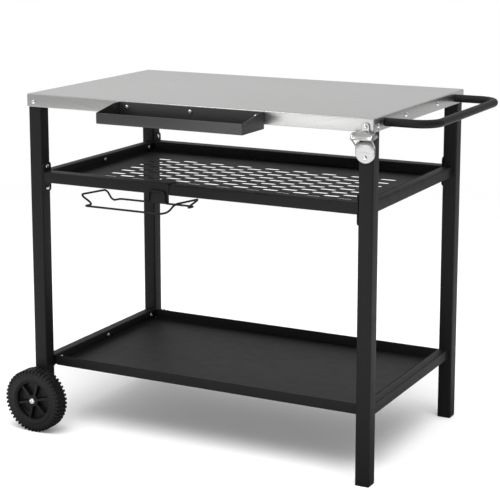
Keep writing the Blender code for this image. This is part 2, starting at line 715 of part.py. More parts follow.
def build_handle_bolts():
    """Bolts that pull the handle's plugs to the top rail, with their heads inside the cart."""
    reach = APRON_END_X - (TOP_RAIL_X - SIDE_RAIL_WIDTH / 2) + HANDLE_BOLT_GRIP
    head = HANDLE_BOLT_HEAD_RADIUS
    shank = HANDLE_BOLT_RADIUS
    rise = HANDLE_BOLT_HEAD_HEIGHT
    profile = [(0, rise), (head, rise), (head, 0), (shank, 0), (shank, -reach), (0, -reach)]
    for name, seat, axis in handle_bolt_seats():
        bm = bmesh.new()
        base = Vector(seat) + Vector(axis) * GAP
        add_turned(bm, profile, base, axis, SCREW_SIDES, pi / SCREW_SIDES)
        add_object(name, bm, ZINC, seat, smooth=True)


def opener_ring(half, reach, drop):
    """Outline of the casting at one height: flat at the back, rounded at the front."""
    skirt = min(reach, OPENER_PLATE) * 0.6
    side = [(1.0, 0.0), (0.86, 0.62), (0.5, 0.93)]
    rounding = side + [(0.0, 1.0)] + [(-u, v) for u, v in reversed(side)]
    back = [(-half, 0.0), (half, 0.0)]
    front = [(u * half, skirt + v * (reach - skirt)) for u, v in rounding]
    return [(OPENER_X + across, OPENER_BACK_Y - out, OPENER_TOP - drop) for across, out in back + front]


def opener_stations():
    """(drop, half width, reach) down the casting: tab, hood, mouth, lip, plate and its rounded end."""
    tab = OPENER_TAB_HALF_WIDTH
    wide = OPENER_HOOD_HALF_WIDTH
    body = OPENER_HALF_WIDTH
    hood = OPENER_HOOD_REACH
    plate = OPENER_PLATE
    neck = OPENER_TAB_HEIGHT
    rim = neck + OPENER_HOOD_HEIGHT
    lip = rim + OPENER_MOUTH_HEIGHT
    end = OPENER_HEIGHT - OPENER_END_HEIGHT
    return [
        (0.0, tab * 0.80, plate),
        (OPENER_TAB_ROUND, tab, plate),
        (neck, tab * 1.15, plate),
        (neck + 0.20 * OPENER_HOOD_HEIGHT, body * 0.95, plate * 2.2),
        (neck + 0.40 * OPENER_HOOD_HEIGHT, wide, hood * 0.55),
        (neck + 0.67 * OPENER_HOOD_HEIGHT, wide * 0.97, hood * 0.85),
        (rim, body * 1.05, hood),
        (lip, body * 0.98, OPENER_LIP_REACH),
        (lip + 0.40 * OPENER_LIP_HEIGHT, body, plate * 2.0),
        (lip + OPENER_LIP_HEIGHT, body, plate * 1.25),
        (end, body * 0.96, plate),
        (end + 0.54 * OPENER_END_HEIGHT, body * 0.72, plate),
        (end + 0.86 * OPENER_END_HEIGHT, body * 0.38, plate),
        (OPENER_HEIGHT, body * 0.12, plate),
    ]


def cut_opener_mouth(opener):
    """A slot right across the casting, and the hollow of the hood above it."""
    inner = OPENER_MOUTH_HALF_WIDTH
    hood = OPENER_HOOD_REACH
    plate = OPENER_PLATE
    top = OPENER_TOP - OPENER_TAB_HEIGHT - OPENER_HOOD_HEIGHT
    low = top - OPENER_MOUTH_HEIGHT
    slot = bmesh.new()
    back = OPENER_BACK_Y
    add_box(slot, OPENER_X - inner, OPENER_X + inner, back - 2 * hood, back + plate, low, top)
    combine(opener, slot, "DIFFERENCE")
    hollow = bmesh.new()
    rings = []
    for z, half, reach in ((low - OPENER_PLATE / 2, inner * 0.9, OPENER_LIP_REACH / 2),
                           (top, inner, hood - 1.4 * plate), (top + OPENER_CAVITY, inner, hood * 0.55)):
        side = [(1, plate), (1, -reach * 0.6), (0.5, -reach)]
        outline = side + [(-u, v) for u, v in reversed(side)]
        rings.append([(OPENER_X + u * half, back + v, z) for u, v in outline])
    loft(hollow, rings)
    combine(opener, hollow, "DIFFERENCE")


def build_opener():
    """Cast opener: tab under the top screw, a hood that stands out, and a rounded lower plate."""
    bm = bmesh.new()
    loft(bm, [opener_ring(half, reach, drop) for drop, half, reach in opener_stations()])
    opener = add_object("bottle_opener", bm, CAST_STEEL, (OPENER_X, OPENER_BACK_Y, OPENER_TOP), smooth=True)
    cut_opener_mouth(opener)
    seat = opener_screws()[1][1]
    boss = bmesh.new()
    start = OPENER_BACK_Y - OPENER_PLATE / 2
    length = -LEG_FACE_Y - GAP - start
    add_pin(boss, SCREW_HEAD_RADIUS, (OPENER_X, start, seat[2]), (0, 1, 0), length, SCREW_SIDES * 2)
    combine(opener, boss, "UNION")
    drill(opener, opener_screws())


def build_screws():
    for name, seat, axis in apron_screws() + tray_screws() + opener_screws() + end_plate_screws():
        bm = bmesh.new()
        add_screw(bm, seat, axis)
        add_object(name, bm, ZINC, seat, smooth=True)


def rounded_path(points, radius, steps=2):
    """Replace each corner of a closed run of points with an arc of the given radius."""
    path = []
    count = len(points)
    for i in range(count):
        corner = Vector(points[i])
        back = (Vector(points[i - 1]) - corner)
        ahead = (Vector(points[(i + 1) % count]) - corner)
        bend = back.angle(ahead)
        trim = min(radius / tan(bend / 2), back.length * 0.45, ahead.length * 0.45)
        first = corner + back.normalized() * trim
        last = corner + ahead.normalized() * trim
        for k in range(steps + 1):
            t = k / steps
            path.append(first.lerp(corner, t).lerp(corner.lerp(last, t), t))
    return path


def bag_wire_points():
    """Corners of the closed wire, from the loop on the hook plate round the ring and back."""
    low = MIDDLE_SHELF_HEIGHT - BAG_DROP
    slope = BAG_TILT / BAG_REACH

    def at(across, forward, rise=0.0):
        return (BAG_CENTRE_X + across, BAG_BACK_Y - forward, low + slope * forward + rise)

    half = BAG_HALF_WIDTH
    loop = BAG_LOOP_HALF_WIDTH
    ear = half + BAG_EAR_WIDTH
    jog = BAG_EAR_JOG
    flare = BAG_EAR_FLARE
    far = BAG_REACH - jog
    right = [
        at(loop, 0, BAG_LOOP_RISE), at(loop, 0), at(half, 0), at(half, jog),
        at(ear, jog - flare, BAG_EAR_RISE), at(ear, far + flare, BAG_EAR_RISE), at(half, far),
        at(half, BAG_REACH),
    ]
    left = [(2 * BAG_CENTRE_X - x, y, z) for x, y, z in reversed(right)]
    return right + left


def build_bag_holder():
    curve = bpy.data.curves.new("bag_holder_wire", "CURVE")
    curve.dimensions = "3D"
    curve.bevel_depth = BAG_WIRE_RADIUS
    curve.bevel_resolution = WIRE_SIDES_RESOLUTION
    path = rounded_path(bag_wire_points(), BAG_BEND)
    pivot = Vector((BAG_CENTRE_X, BAG_BACK_Y, MIDDLE_SHELF_HEIGHT - BAG_DROP))
    spline = curve.splines.new("POLY")
    spline.points.add(len(path) - 1)
    for point, place in zip(spline.points, path):
        point.co = (*(place - pivot), 1.0)
    spline.use_cyclic_u = True
    curve.materials.append(make_material("bag_holder_wire", *BLACK_COAT))
    wire = bpy.data.objects.new("bag_holder_wire", curve)
    wire.location = pivot
    bpy.context.scene.collection.objects.link(wire)

    bm = bmesh.new()
    top = LONG_RAIL_TOP + GAP + HOOK_SHEET
    section = [
        (HOOK_FRONT_Y, HOOK_BOTTOM), (HOOK_FRONT_Y, top), (HOOK_REAR_Y, top), (HOOK_REAR_Y, top - HOOK_LIP),
        (HOOK_REAR_Y - HOOK_SHEET, top - HOOK_LIP), (HOOK_REAR_Y - HOOK_SHEET, top - HOOK_SHEET),
        (HOOK_FRONT_Y + HOOK_SHEET, top - HOOK_SHEET), (HOOK_FRONT_Y + HOOK_SHEET, HOOK_BOTTOM),
    ]
    half = HOOK_WIDTH / 2
    loft(bm, [[(x, y, z) for y, z in section] for x in (BAG_CENTRE_X - half, BAG_CENTRE_X + half)])
    add_object("bag_holder_hook", bm, BLACK_COAT, pivot)


def add_tyre(bm, x, inner, out):
    """Rubber tyre: rounded side walls, a centre rib and two rows of lugs, each row half a pitch apart."""
    width = WHEEL_WIDTH
    tread = WHEEL_RADIUS - TREAD_DEPTH
    bead = RIM_RADIUS + GAP
    profile = [
        (bead, 0.03), (tread - SHOULDER, 0.0), (tread, LUG_EDGE), (tread, CENTRE_RIB_EDGE),
        (tread, 1 - CENTRE_RIB_EDGE), (tread, 1 - LUG_EDGE), (tread - SHOULDER, 1.0), (bead, 0.97),
    ]
    steps = 2 * LUG_COUNT
    rings = []
    for i in range(steps):
        angle = 2 * pi * (i - 0.5) / steps
        ring = []
        for radius, share in profile:
            y = inner + out * width * share
            ring.append(bm.verts.new((x + radius * sin(angle), y, WHEEL_RADIUS - radius * cos(angle))))
        rings.append(ring)
    count = len(profile)
    lugs = []
    for i in range(steps):
        low = rings[i]
        high = rings[(i + 1) % steps]
        for k in range(count):
            n = (k + 1) % count
            face = bm.faces.new((low[k], low[n], high[n], high[k]))
            if k == 2 and i % 2 == 0 or k == 4 and i % 2 == 1:
                lugs.append(face)
    bmesh.ops.recalc_face_normals(bm, faces=bm.faces)
    raised = bmesh.ops.extrude_discrete_faces(bm, faces=lugs)["faces"]
    for face in raised:
        for vert in face.verts:
            away = Vector((vert.co.x - x, 0, vert.co.z - WHEEL_RADIUS)).normalized()
            vert.co += away * TREAD_DEPTH


def build_rim(name, x, inner, out):
    """Moulded centre: barrel, web, hub and spokes that run from the hub to the barrel."""
    axis = (0, out, 0)
    base = (x, inner, WHEEL_RADIUS)
    bore = BUSH_BORE + BUSH_WALL + GAP
    web = WHEEL_WIDTH - RIM_WEB_SETBACK
    hub = WHEEL_WIDTH - HUB_SETBACK
    barrel = RIM_RADIUS - RIM_WALL
    profile = [
        (bore, 0), (HUB_RADIUS, 0), (HUB_RADIUS, web - RIM_WEB), (barrel, web - RIM_WEB),
        (barrel, RIM_SETBACK), (RIM_RADIUS, RIM_SETBACK), (RIM_RADIUS, WHEEL_WIDTH - RIM_SETBACK),
        (barrel, WHEEL_WIDTH - RIM_SETBACK), (barrel, web), (HUB_RADIUS, web), (HUB_RADIUS, hub), (bore, hub),
    ]
    bm = bmesh.new()
    add_turned(bm, profile, base, axis, RIM_SIDES)
    rim = add_object(name, bm, BLACK_PLASTIC, base, smooth=True)
    spokes = bmesh.new()
    reach = (HUB_RADIUS - SPOKE_ROOT, barrel + SPOKE_ROOT)
    depth = sorted((inner + out * (web - RIM_WEB / 2), inner + out * (WHEEL_WIDTH - SPOKE_SETBACK)))
    for i in range(RIM_SPOKES):
        verts = add_box(spokes, reach[0], reach[1], depth[0], depth[1], -SPOKE_WIDTH / 2, SPOKE_WIDTH / 2)
        turn = Matrix.Rotation(2 * pi * (i + 0.75) / RIM_SPOKES, 4, "Y")
        bmesh.ops.transform(spokes, verts=verts, matrix=Matrix.Translation((x, 0, WHEEL_RADIUS)) @ turn)
    combine(rim, spokes, "UNION")


def build_wheels():
    """Two wheels outside the left legs. Each turns on its own bolt, in a bush."""
    x = -LEG_X
    for out, word in ((-1, "front"), (1, "rear")):
        axis = Vector((0, out, 0))
        inner = out * WHEEL_INNER_Y
        bm = bmesh.new()
        add_tyre(bm, x, inner, out)
        add_object(f"{word}_tyre", bm, RUBBER, (x, inner, WHEEL_RADIUS), smooth=True)
        build_rim(f"{word}_rim", x, inner, out)

        bm = bmesh.new()
        length = WHEEL_WIDTH - HUB_SETBACK
        add_ring(bm, BUSH_BORE, BUSH_BORE + BUSH_WALL, (x, inner, WHEEL_RADIUS), axis, length, AXLE_SIDES)
        add_object(f"{word}_bush", bm, NYLON, (x, inner, WHEEL_RADIUS), smooth=True)

        bm = bmesh.new()
        seat = out * (HUB_FACE_Y + GAP)
        tail = HUB_FACE_Y + GAP - (LEG_Y - LEG_HALF) + GAP + NUT_HEIGHT + AXLE_TAIL
        profile = [(0, AXLE_HEAD_HEIGHT), (AXLE_HEAD_RADIUS * 0.8, AXLE_HEAD_HEIGHT),
                   (AXLE_HEAD_RADIUS, AXLE_HEAD_HEIGHT * 0.7), (AXLE_HEAD_RADIUS, 0), (AXLE_RADIUS, 0),
                   (AXLE_RADIUS, -tail), (0, -tail)]
        add_turned(bm, profile, (x, seat, WHEEL_RADIUS), axis, AXLE_SIDES, pi / AXLE_SIDES)
        add_object(f"{word}_axle_bolt", bm, ZINC, (x, seat, WHEEL_RADIUS), smooth=True)

        bm = bmesh.new()
        bore = AXLE_RADIUS + GAP
        outside = out * (LEG_FACE_Y + GAP)
        add_ring(bm, bore, WASHER_RADIUS, (x, outside, WHEEL_RADIUS), axis, WASHER_THICKNESS, AXLE_SIDES)
        add_object(f"{word}_axle_washer", bm, ZINC, (x, outside, WHEEL_RADIUS), smooth=True)

        bm = bmesh.new()
        add_nut(bm, bore, (x, out * (LEG_Y - LEG_HALF - GAP), WHEEL_RADIUS), -axis)
        add_object(f"{word}_axle_nut", bm, ZINC, (x, out * (LEG_Y - LEG_HALF), WHEEL_RADIUS))


def centre_on_floor():
    """Move every object so that the origin is at the bottom middle of the whole cart's box."""
    bpy.context.view_layer.update()
    graph = bpy.context.evaluated_depsgraph_get()
    points = []
    for obj in bpy.data.objects:
        shown = obj.evaluated_get(graph)
        mesh = shown.to_mesh()
        points += [shown.matrix_world @ v.co for v in mesh.vertices]
        shown.to_mesh_clear()
    low = Vector([min(p[i] for p in points) for i in range(3)])
    high = Vector([max(p[i] for p in points) for i in range(3)])
    shift = Vector(((low.x + high.x) / 2, (low.y + high.y) / 2, low.z))
    for obj in bpy.data.objects:
        obj.location -= shift
    print("cart frame's origin is at", [round(-v, 5) for v in shift])


clear_scene()
build_tabletop()
build_stiffener()
build_legs()
build_leg_plugs()
build_side_rails()
build_long_rails()
build_shelf("middle_shelf", MIDDLE_SHELF_HEIGHT, slotted=True)
build_shelf("bottom_shelf", BOTTOM_SHELF_HEIGHT, slotted=False)
build_seasoning_tray()
build_handle()
build_handle_bolts()
build_opener()
build_screws()
build_bag_holder()
build_wheels()
centre_on_floor()
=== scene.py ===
"""Looks of the grill cart, built around the boxes of its frame. All sizes are in metres."""
import bpy
import bmesh
from math import atan2, cos, pi, radians, sin, tan
from mathutils import Matrix, Vector


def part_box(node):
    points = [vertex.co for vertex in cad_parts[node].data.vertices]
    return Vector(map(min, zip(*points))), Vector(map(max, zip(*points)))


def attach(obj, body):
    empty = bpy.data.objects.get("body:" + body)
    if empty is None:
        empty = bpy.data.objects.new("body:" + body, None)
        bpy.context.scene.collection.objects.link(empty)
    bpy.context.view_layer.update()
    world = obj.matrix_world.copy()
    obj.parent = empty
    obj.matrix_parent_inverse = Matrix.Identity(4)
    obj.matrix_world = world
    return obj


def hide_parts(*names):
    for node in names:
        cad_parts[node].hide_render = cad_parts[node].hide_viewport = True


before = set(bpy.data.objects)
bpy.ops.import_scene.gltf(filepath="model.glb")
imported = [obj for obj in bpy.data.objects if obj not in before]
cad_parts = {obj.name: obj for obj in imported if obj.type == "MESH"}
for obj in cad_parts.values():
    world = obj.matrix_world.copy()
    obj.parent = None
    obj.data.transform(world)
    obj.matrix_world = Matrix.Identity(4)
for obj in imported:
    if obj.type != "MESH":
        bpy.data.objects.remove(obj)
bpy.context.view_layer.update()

# Camera, found from the photograph's edges
EYE = (1.62285, -3.1335, 1.2625)
YAW = 27.33
PITCH = 10.43
LENS = 112.0
SHIFT = -0.15

# Sheet and tube
SHEET = 0.0012
TOP_SHEET = 0.0010
TOP_BEND = 0.003
HEM = 0.0024
HEM_HEIGHT = 0.008
SHELF_BEND = 0.0024
EDGE = 0.0004                # rounding of a sheet's cut edge
LEG_CORNER = 0.0035
LEG_WALL = 0.0015
RAIL_CORNER = 0.0022
RAIL_WALL = 0.0012
TOUCH = 0.0003               # gap between two pieces that touch
END_EASE = 0.0003            # softly broken end of a tube or a plate
LEAST_CORNER = 0.0003        # smallest radius inside a folded corner

# Long rails and their end plates
LONG_RAIL_DEPTH = 0.032
LONG_RAIL_HEIGHT = 0.0245
END_PLATE = 0.0025
END_PLATE_CORNER = 0.009
END_PLATE_DROP = 0.0015      # middle of the plate below the middle of the rail
VENT_X = 0.300
VENT_RADIUS = 0.003

# Shelves and tray
SHELF_CORNER = 0.002
TRAY_CORNER = 0.0022
SLOT_LENGTH = 0.040
SLOT_WIDTH = 0.015
SLOT_COLUMN_PITCH = 0.0378
SLOT_ROW_PITCH = 0.043
TRAY_FRONT = 0.024
TRAY_LEVEL_EDGE = 0.025

# Screws
SCREW_HEAD = 0.0050
SCREW_RISE = 0.0030
SHELF_SCREW_RISE = 0.013
SHELF_SCREW_SPREAD = 0.208
TOP_RAIL_SCREW_RISE = 0.016
TOP_RAIL_SCREW_SPREAD = 0.0955

# Wheels
WHEEL_RADIUS = 0.075
TYRE_EASE = 0.0001           # the lugged tyre's radius and centre height are this much less
BUSH_SETBACK = 0.0035        # hub and bush end this far inside the tyre's outer face


# Materials

class Graph:
    """Short words for adding nodes to a material's or a world's tree."""

    def __init__(self, owner, shader="Principled BSDF"):
        owner.use_nodes = True
        self.tree = owner.node_tree
        self.shader = self.tree.nodes[shader]

    def add(self, kind, inputs=None, **settings):
        node = self.tree.nodes.new(kind)
        for key, value in settings.items():
            setattr(node, key, value)
        self.feed(node, inputs or {})
        return node

    def feed(self, node, inputs):
        """Set a node's inputs, or link those that are given an output."""
        for name, value in inputs.items():
            if isinstance(value, bpy.types.NodeSocket):
                self.tree.links.new(value, node.inputs[name])
            else:
                node.inputs[name].default_value = value

    def place(self):
        """The object's own coordinates, in metres."""
        return self.add("ShaderNodeTexCoord").outputs["Object"]

    def noise(self, vector, scale, detail=2.0, roughness=0.5):
        inputs = {"Vector": vector, "Scale": scale, "Detail": detail, "Roughness": roughness}
        return self.add("ShaderNodeTexNoise", inputs).outputs["Fac"]

    def spread(self, value, low, high, source_low=0.3, source_high=0.7):
        inputs = {"Value": value, "From Min": source_low, "From Max": source_high,
                  "To Min": low, "To Max": high}
        return self.add("ShaderNodeMapRange", inputs).outputs["Result"]

    def tint(self, value, colour, low, high):
        """The colour times low up to the colour times high."""
        dark, light = [(*[c * share for c in colour], 1.0) for share in (low, high)]
        inputs = {"Factor": value, "A": dark, "B": light}
        return self.add("ShaderNodeMix", inputs, data_type="RGBA").outputs["Result"]

    def math(self, operation, value, other=0.0):
        return self.add("ShaderNodeMath", {0: value, 1: other}, operation=operation).outputs["Value"]

    def parts(self, vector):
        return self.add("ShaderNodeSeparateXYZ", {"Vector": vector}).outputs

    def mix(self, share, first, second):
        return self.add("ShaderNodeMixShader", {0: share, 1: first.outputs[0], 2: second.outputs[0]})

    def bump(self, height, strength, distance, under=None):
        node = self.add("ShaderNodeBump", {"Height": height, "Strength": strength, "Distance": distance})
        if under is not None:
            self.feed(node, {"Normal": under})
        return node.outputs["Normal"]


def new_material(name, roughness, metallic):
    material = bpy.data.materials.new(name)
    graph = Graph(material)
    graph.feed(graph.shader, {"Roughness": roughness, "Metallic": metallic})
    return material, graph


def make_finish(name, colour, roughness, metallic, grain, depth, variation=0.12, patch=9.0, specular=0.5):
    """A finish with slow colour drift, uneven gloss and a fine grain. grain is in turns per metre."""
    material, graph = new_material(name, roughness, metallic)
    place = graph.place()
    drift = graph.noise(place, patch, 3.0)
    gloss = graph.noise(place, patch * 7, 4.0)
    coarse = graph.bump(graph.noise(place, grain / 5, 2.0), 0.35, depth * 2)
    graph.feed(graph.shader, {
        "Base Color": graph.tint(drift, colour, 1 - variation, 1 + variation),
        "Roughness": graph.spread(gloss, roughness * 0.96, roughness * 1.04),
        "Specular IOR Level": specular,
        "Normal": graph.bump(graph.noise(place, grain, 3.0, 0.6), 0.6, depth, coarse),
    })
    return material


def make_brushed(name, colour, roughness, along=2.5, across=420.0):
    """Steel with grain along X. On end faces the grain runs down, as on a folded sheet."""
    material, graph = new_material(name, roughness, 1.0)
    place = graph.parts(graph.place())
    normal = graph.parts(graph.add("ShaderNodeNewGeometry").outputs["Normal"])
    down = graph.spread(graph.math("ABSOLUTE", normal["X"]), across, along, 0.0, 1.0)
    stretched = {axis: graph.math("MULTIPLY", place[axis], stretch)
                 for axis, stretch in (("X", along), ("Y", across), ("Z", down))}
    streaks = graph.add("ShaderNodeCombineXYZ", stretched).outputs["Vector"]
    grain = graph.noise(streaks, 1.0, 4.0, 0.65)
    patch = graph.noise(graph.place(), 5.0, 2.0)
    mixed = graph.add("ShaderNodeMix", {"Factor": 0.35, "A": grain, "B": patch}, data_type="FLOAT")
    soft = graph.bump(grain, 0.25, 0.00004)
    graph.feed(graph.shader, {
        "Base Color": graph.tint(mixed.outputs["Result"], colour, 0.93, 1.07),
        "Roughness": graph.spread(grain, roughness * 0.85, roughness * 1.18),
        "Normal": graph.bump(graph.noise(streaks, 4.5, 2.0), 0.20, 0.00002, soft),
    })
    return material


def make_spangled(name, colour, roughness):
    """Zinc-coated sheet with crystals a few millimetres across."""
    material, graph = new_material(name, roughness, 1.0)
    cells = graph.add("ShaderNodeTexVoronoi", {"Vector": graph.place(), "Scale": 160.0})
    tone = graph.add("ShaderNodeSeparateColor", {"Color": cells.outputs["Color"]})
    graph.feed(graph.shader, {
        "Base Color": graph.tint(tone.outputs["Red"], colour, 0.80, 1.15),
        "Roughness": graph.spread(tone.outputs["Green"], roughness * 0.8, roughness * 1.2, 0.0, 1.0),
        "Normal": graph.bump(cells.outputs["Distance"], 0.2, 0.00005),
    })
    return material


DARK_COAT = (0.0064, 0.0064, 0.0066)

LOOKS = {
    "stainless": make_brushed("brushed_stainless", (0.52, 0.52, 0.515), 0.30),
    "galvanised": make_spangled("zinc_coated_sheet", (0.52, 0.53, 0.54), 0.42),
    "zinc": make_finish("bright_zinc", (0.90, 0.90, 0.91), 0.26, 1.0, 900.0, 0.00002, 0.05, 60.0),
    "cast_steel": make_finish("plated_casting", (0.50, 0.50, 0.496), 0.30, 1.0, 500.0, 0.00001, 0.03, 40.0),
    "black_coat": make_finish("black_powder_coat", DARK_COAT, 0.56, 0.0, 1700.0, 0.00002, 0.05, 6.0, 0.24),
    "tray_coat": make_finish("glossy_powder_coat", DARK_COAT, 0.36, 0.0, 1700.0, 0.00002, 0.05, 6.0, 0.9),
    "black_plastic": make_finish("black_moulded_plastic", (0.0060, 0.0060, 0.0060), 0.42, 0.0,
                                 1200.0, 0.00004, 0.12, 20.0, 0.26),
    "rubber": make_finish("black_rubber", (0.0086, 0.0086, 0.0088), 0.55, 0.0,
                          900.0, 0.00005, 0.12, 25.0, 0.30),
    "nylon": make_finish("white_nylon", (0.66, 0.65, 0.61), 0.45, 0.0, 900.0, 0.00002, 0.04, 30.0),
}


# Mesh tools

def to_mesh(bm, name="part"):
    bmesh.ops.recalc_face_normals(bm, faces=bm.faces)
    mesh = bpy.data.meshes.new(name)
    bm.to_mesh(mesh)
    bm.free()
    return mesh


def made(shape, *values, **options):
    """New bmesh with one shape in it."""
    bm = bmesh.new()
    shape(bm, *values, **options)
    return bm


def piece(name, bm, slot, node=None, angle=35, **options):
    """Turn a bmesh in the frame's place into a finished piece."""
    dress(name, to_mesh(bm, name), slot, node, angle, **options)


def dress(name, mesh, slot, node=None, angle=35, body="cart", bevel=0.0, segments=2, matrix=None, look=None):
    """Finish a mesh that rides on a body, in place of a node. look is another finish for the slot."""
    mesh.shade_smooth()
    mesh.set_sharp_from_angle(angle=radians(angle))
    mesh.materials.clear()
    mesh.materials.append(LOOKS[look or slot])
    obj = bpy.data.objects.new(name, mesh)
    if matrix is not None:
        obj.matrix_world = matrix
    bpy.context.scene.collection.objects.link(obj)
    if bevel:
        rounding = obj.modifiers.new("rounding", "BEVEL")
        rounding.width = bevel
        rounding.segments = segments
        rounding.limit_method = "ANGLE"
        rounding.angle_limit = radians(40)
        rounding.harden_normals = True
    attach(obj, body)
    if node:
        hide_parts(node)


def combine(mesh, tool, operation):
    """Cut a bmesh from a mesh, or join it, and return the new mesh."""
    tool_mesh = to_mesh(tool, "tool")
    body = bpy.data.objects.new("work", mesh)
    helper = bpy.data.objects.new("tool", tool_mesh)
    for obj in (body, helper):
        bpy.context.scene.collection.objects.link(obj)
    modifier = body.modifiers.new("combine", "BOOLEAN")
    modifier.object = helper
    modifier.operation = operation
    modifier.solver = "EXACT"
    bpy.context.view_layer.update()
    graph = bpy.context.evaluated_depsgraph_get()
    result = bpy.data.meshes.new_from_object(body.evaluated_get(graph), depsgraph=graph)
    for obj in (body, helper):
        bpy.data.objects.remove(obj, do_unlink=True)
    bpy.data.meshes.remove(mesh)
    bpy.data.meshes.remove(tool_mesh)
    return result


def loft(bm, rings, closed=False):
    """Skin a list of equal rings of points. The ends are capped, or joined to each other."""
    loops = [[bm.verts.new(point) for point in ring] for ring in rings]
    count = len(loops[0])
    pairs = list(zip(loops, loops[1:]))
    if closed:
        pairs.append((loops[-1], loops[0]))
    for low, high in pairs:
        for i in range(count):
            j = (i + 1) % count
            bm.faces.new((low[i], low[j], high[j], high[i]))
    if not closed:
        bm.faces.new(loops[0])
        bm.faces.new(loops[-1])


def frame_for(axis):
    """Rotation that takes local Z onto the axis."""
    return Vector((0, 0, 1)).rotation_difference(Vector(axis)).to_matrix()


def turned(bm, profile, base, axis, sides):
    """Turn a profile of (radius, height) about an axis. Radius 0 makes a tip, else the profile closes."""
    turn = frame_for(axis)
    base = Vector(base)
    angles = [2 * pi * (i + 0.5) / sides for i in range(sides)]
    rings = []
    for radius, height in profile:
        points = [Vector((radius * cos(a), radius * sin(a), height)) for a in angles]
        if radius == 0:
            points = [Vector((0, 0, height))]
        rings.append([bm.verts.new(base + turn @ point) for point in points])
    pairs = list(zip(rings, rings[1:]))
    if len(rings[0]) > 1:
        pairs.append((rings[-1], rings[0]))
    for low, high in pairs:
        for i in range(sides):
            j = (i + 1) % sides
            if len(low) == 1:
                bm.faces.new((low[0], high[j], high[i]))
            elif len(high) == 1:
                bm.faces.new((low[i], low[j], high[0]))
            else:
                bm.faces.new((low[i], low[j], high[j], high[i]))


def arc(centre, radius, start, stop, steps):
    """Points of an arc in a plane, angles in degrees."""
    angles = [radians(start + (stop - start) * i / steps) for i in range(steps + 1)]
    return [(centre[0] + radius * cos(a), centre[1] + radius * sin(a)) for a in angles]


def rounded_rectangle(x0, x1, y0, y1, corner, steps, inset=0.0):
    """Outline of a rectangle with round corners, drawn in on all sides by the inset."""
    x0, x1, y0, y1 = x0 + inset, x1 - inset, y0 + inset, y1 - inset
    points = []
    for cx, cy, start in ((x1, y1, 0), (x0, y1, 90), (x0, y0, 180), (x1, y0, 270)):
        inner = (cx - corner if cx == x1 else cx + corner, cy - corner if cy == y1 else cy + corner)
        points += arc(inner, corner, start, start + 90, steps)
    return points


def stack(low, high, rows, steps):
    """Rounded rectangles above each other in a box. Each row is (inset, height, corner radius)."""
    rings = []
    for inset, z, radius in rows:
        outline = rounded_rectangle(low.x, high.x, low.y, high.y, radius, steps, inset)
        rings.append([(x, y, z) for x, y in outline])
    return made(loft, rings)


def pan(low, high, corner, section):
    """Sheet pan. section is a list of (inset, height) round the sheet."""
    return stack(low, high, [(inset, z, max(corner - inset, LEAST_CORNER)) for inset, z in section], 4)


def bar(x0, x1, section):
    """Bar along X. section is a list of (y, z)."""
    return made(loft, [[(x, y, z) for y, z in section] for x in (x0, x1)])


def place_on(axis, centre, u, v, along):
    """Point of a section (u, v) at a distance along an axis."""
    if axis == "x":
        return Vector((along, centre[1] + u, centre[2] + v))
    if axis == "y":
        return Vector((centre[0] + u, along, centre[2] + v))
    return Vector((centre[0] + u, centre[1] + v, along))


def square_tube(bm, low, high, axis, wall, corner, steps=5):
    """Open tube of rectangular section with round corners and softly broken ends."""
    centre = [(a + b) / 2 for a, b in zip(low, high)]
    i = "xyz".index(axis)
    width, height = [(high[k] - low[k]) / 2 for k in range(3) if k != i]
    start, stop, ease = low[i], high[i], END_EASE
    rings = []
    for inset, along in ((0, start + ease), (0, stop - ease), (ease, stop), (wall - ease, stop),
                         (wall, stop - ease), (wall, start + ease), (wall - ease, start), (ease, start)):
        radius = max(corner - inset, corner / 4)
        outline = rounded_rectangle(-width, width, -height, height, radius, steps, inset)
        rings.append([place_on(axis, centre, u, v, along) for u, v in outline])
    loft(bm, rings, closed=True)


def sweep(bm, path, radius, sides, closed=False):
    """Round tube along a list of points, with flat ends or joined to itself."""
    count = len(path)
    points = [Vector(p) for p in path]
    ahead = []
    for i in range(count):
        before = points[i - 1] if closed or i else points[0]
        after = points[(i + 1) % count] if closed or i < count - 1 else points[-1]
        ahead.append((after - before).normalized())
    side = ahead[0].orthogonal().normalized()
    sides_at = [side]
    for i in range(1, count):
        side = side - ahead[i] * side.dot(ahead[i])
        side.normalize()
        sides_at.append(side)
    twist = 0.0
    if closed:
        last = sides_at[-1] - ahead[0] * sides_at[-1].dot(ahead[0])
        last.normalize()
        twist = atan2(last.cross(sides_at[0]).dot(ahead[0]), last.dot(sides_at[0]))
    rings = []
    for i in range(count):
        side = sides_at[i]
        up = ahead[i].cross(side)
        turn = twist * i / count
        angles = [2 * pi * k / sides + turn for k in range(sides)]
        rings.append([points[i] + radius * (side * cos(a) + up * sin(a)) for a in angles])
    loft(bm, rings, closed=closed)


def filleted(points, radius, steps, closed=False):
    """Replace the corners of a run of points with arcs."""
    path = []
    count = len(points)
    for i in range(count):
        corner = Vector(points[i])
        if not closed and i in (0, count - 1):
            path.append(corner)
            continue
        back = Vector(points[i - 1]) - corner
        ahead = Vector(points[(i + 1) % count]) - corner
        bend = back.angle(ahead)
        trim = min(radius / tan(bend / 2), back.length * 0.46, ahead.length * 0.46)
        inner = trim * tan(bend / 2)
        back.normalize()
        ahead.normalize()
        centre = corner + (back + ahead).normalized() * (inner / sin(bend / 2))
        first = corner + back * trim - centre
        last = corner + ahead * trim - centre
        full = first.angle(last)
        for k in range(steps + 1):
            t = k / steps
            blend = (first * sin((1 - t) * full) + last * sin(t * full)) / sin(full)
            path.append(centre + blend)
    return path


# Fasteners

